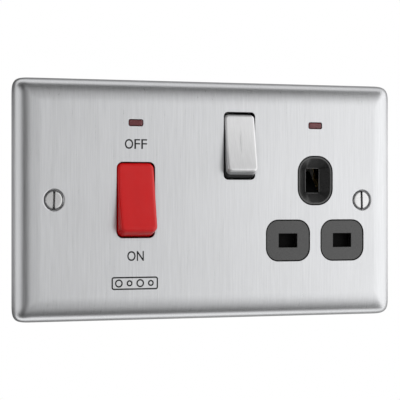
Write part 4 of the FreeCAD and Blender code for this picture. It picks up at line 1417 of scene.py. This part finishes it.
@dataclass(frozen=True)
class Card:
    """A panel with soft sides that is seen in gloss alone, dark or bright.

    Its direction from the object is an azimuth to the right of straight in front and an
    elevation, and it may be shifted to its own right and lifted. Each side fades over its
    own margin.
    """

    name: str
    azimuth: float
    elevation: float
    distance: float
    half_wide: float
    half_high: float
    share: float
    strength: float = 0.0
    left: float = 0.1
    right: float = 0.1
    low: float = 0.1
    high: float = 0.1
    shift: float = 0.0
    lift: float = 0.0

    def build(self) -> None:
        """Put the card in place."""
        turn, rise = math.radians(self.azimuth), math.radians(self.elevation)
        level = math.cos(rise)
        towards = Vector((level * math.sin(turn), -level * math.cos(turn), math.sin(rise)))
        across = Vector((math.cos(turn), math.sin(turn), 0))
        up = towards.cross(across)
        card = Maker().panel(self.half_wide, self.half_high).finish(self.name)
        turned = Matrix((across, up, across.cross(up))).transposed().to_4x4()
        place = towards * self.distance + across * self.shift + up * self.lift
        card.matrix_world = Matrix.Translation(place) @ turned
        card.data.materials.append(self.material())
        for rays in ("camera", "diffuse", "shadow", "transmission"):
            setattr(card, f"visible_{rays}", False)

    def material(self) -> Material:
        """Clear at the sides, and as dark or bright as the card is in its middle.

        Returns:
            The material.
        """
        graph = Graph(self.name)
        parts = graph.add("SeparateXYZ", Vector=graph.add("TexCoord").outputs["Object"])
        cover = self.share
        for axis, half, before, after in (
            ("X", self.half_wide, self.left, self.right),
            ("Y", self.half_high, self.low, self.high),
        ):
            at = parts.outputs[axis]
            rise, fall = graph.ramp(at, -half, before - half), graph.ramp(at, half, half - after)
            cover = graph.product(cover, rise, fall)
        panel = graph.add("Emission", Color=WHITE, Strength=self.strength)
        return graph.close(graph.mix(cover, graph.add("BsdfTransparent"), panel))


@dataclass(frozen=True)
class SoftBox:
    """A rectangular lamp that faces the object."""

    name: str
    at: Triple
    wide: float
    high: float
    power: float

    def build(self) -> None:
        """Hang the lamp. Its own reflection is left to the cards."""
        data = bpy.data.lights.new(self.name, "AREA")
        data.shape = "RECTANGLE"
        data.size, data.size_y = self.wide, self.high
        data.energy = self.power
        lamp = link(self.name, data)
        lamp.location = self.at
        lamp.rotation_euler = (-Vector(self.at)).to_track_quat("-Z", "Y").to_euler()
        lamp.visible_glossy = False


CARDS = (
    Card("upper_card", 0, 44, 0.60, 1.3, 0.49, 0.86, low=0.75, high=0.07),
    Card("lower_card", 0, -44, 0.60, 1.3, 0.49, 0.83, low=0.07, high=0.80),
    Card("left_card", -41, 0, 0.55, 0.19, 0.9, 1.0, left=0.08, right=0.16),
    Card("front_card", 2, 0, 0.70, 0.34, 0.5, 0.30, left=0.25, right=0.12),
    Card("under_card", 0, -96, 0.50, 1.0, 0.09, 1.0, strength=1.35, low=0.03, high=0.03),
    Card("right_card", 60, 0, 0.60, 0.55, 0.9, 1.0, strength=1.46, left=0.2, right=0.2),
    Card("rear_left_card", 180, 0, 0.16, 0.6, 0.5, 0.6, left=0.25, low=0.2, high=0.2, shift=0.5),
    Card("rear_upper_card", 180, 0, 0.165, 1.0, 0.22, 0.64, low=0.02, lift=0.26),
    Card("rear_lower_card", 180, 0, 0.165, 1.0, 0.22, 0.6, high=0.02, lift=-0.26),
)
SOFT_BOXES = (
    SoftBox("right_box", (0.75, -0.55, 0.15), 0.6, 0.9, 6.0),
    SoftBox("top_box", (-0.2, -0.5, 0.75), 0.7, 0.5, 1.6),
)


@dataclass
class Studio:
    """The camera, the soft lights, the pale floor and the cards that shape the gloss."""

    camera_at: Triple = (-0.2579, -0.6204, 0.0)
    camera_turn: float = 22.36
    lens: float = 165.7
    sensor: float = 36.0
    floor_down: float = 0.12
    floor_half: float = 1.6
    floor_tone: tuple[float, float, float, float] = (0.86, 0.86, 0.86, 1)
    fade_from: float = 0.14
    fade_to: float = 0.30
    daylight: float = 0.55

    def build(self) -> None:
        """Set up everything that isn't the object."""
        bpy.context.scene.view_settings.view_transform = "Standard"
        self.build_camera()
        self.build_world()
        self.build_floor()
        for lamp in SOFT_BOXES:
            lamp.build()
        for card in CARDS:
            card.build()
        log.info("studio is ready")

    def build_camera(self) -> None:
        """A long lens at the photograph's angle, level with the object's middle."""
        data = bpy.data.cameras.new("camera")
        data.lens = self.lens
        data.sensor_width = self.sensor
        camera = link("camera", data)
        camera.location = self.camera_at
        camera.rotation_euler = (math.pi / 2, 0, -math.radians(self.camera_turn))
        bpy.context.scene.camera = camera

    def build_world(self) -> None:
        """Even daylight, and plain white wherever the camera, gloss or glass looks out."""
        graph = Graph("studio", world=True)
        light = graph.add("Background", Color=WHITE, Strength=self.daylight)
        white = graph.add("Background", Color=WHITE)
        bpy.context.scene.world = graph.close(graph.mix(graph.seen(), light, white))

    def build_floor(self) -> None:
        """A pale floor well below the unit, which fades to white away from its shadow."""
        half = self.floor_half
        floor = Maker().panel(half, half, -self.floor_down).finish("floor")
        graph = Graph("pale_floor")
        parts = graph.add("SeparateXYZ", Vector=graph.add("TexCoord").outputs["Object"])
        squares = [graph.maths("POWER", parts.outputs[axis], 2.0) for axis in "XY"]
        away = graph.maths("SQRT", graph.maths("ADD", *squares))
        faded = graph.product(graph.ramp(away, self.fade_from, self.fade_to), graph.seen())
        plain = graph.add("BsdfDiffuse", Color=self.floor_tone)
        white = graph.add("Emission", Color=WHITE, Strength=1.0)
        floor.data.materials.append(graph.close(graph.mix(faded, plain, white)))
        floor.visible_glossy = False


def main() -> None:
    """Build the dressed unit and its studio, piece by piece."""
    logging.basicConfig(level=logging.INFO, format="%(name)s: %(message)s")
    dress_nodes()
    front = SteelFront()
    lenses = Lens("cooker_lens", front.cooker_lens), Lens("socket_lens", front.socket_lens)
    switches = CookerSwitch(), SocketSwitch()
    for part in (front, PaintedGapShadow(front), *switches, Screws(), ShutterSpring(), Print(), *lenses):
        part.build()
    Studio().build()


if __name__ == "__main__":
    main()
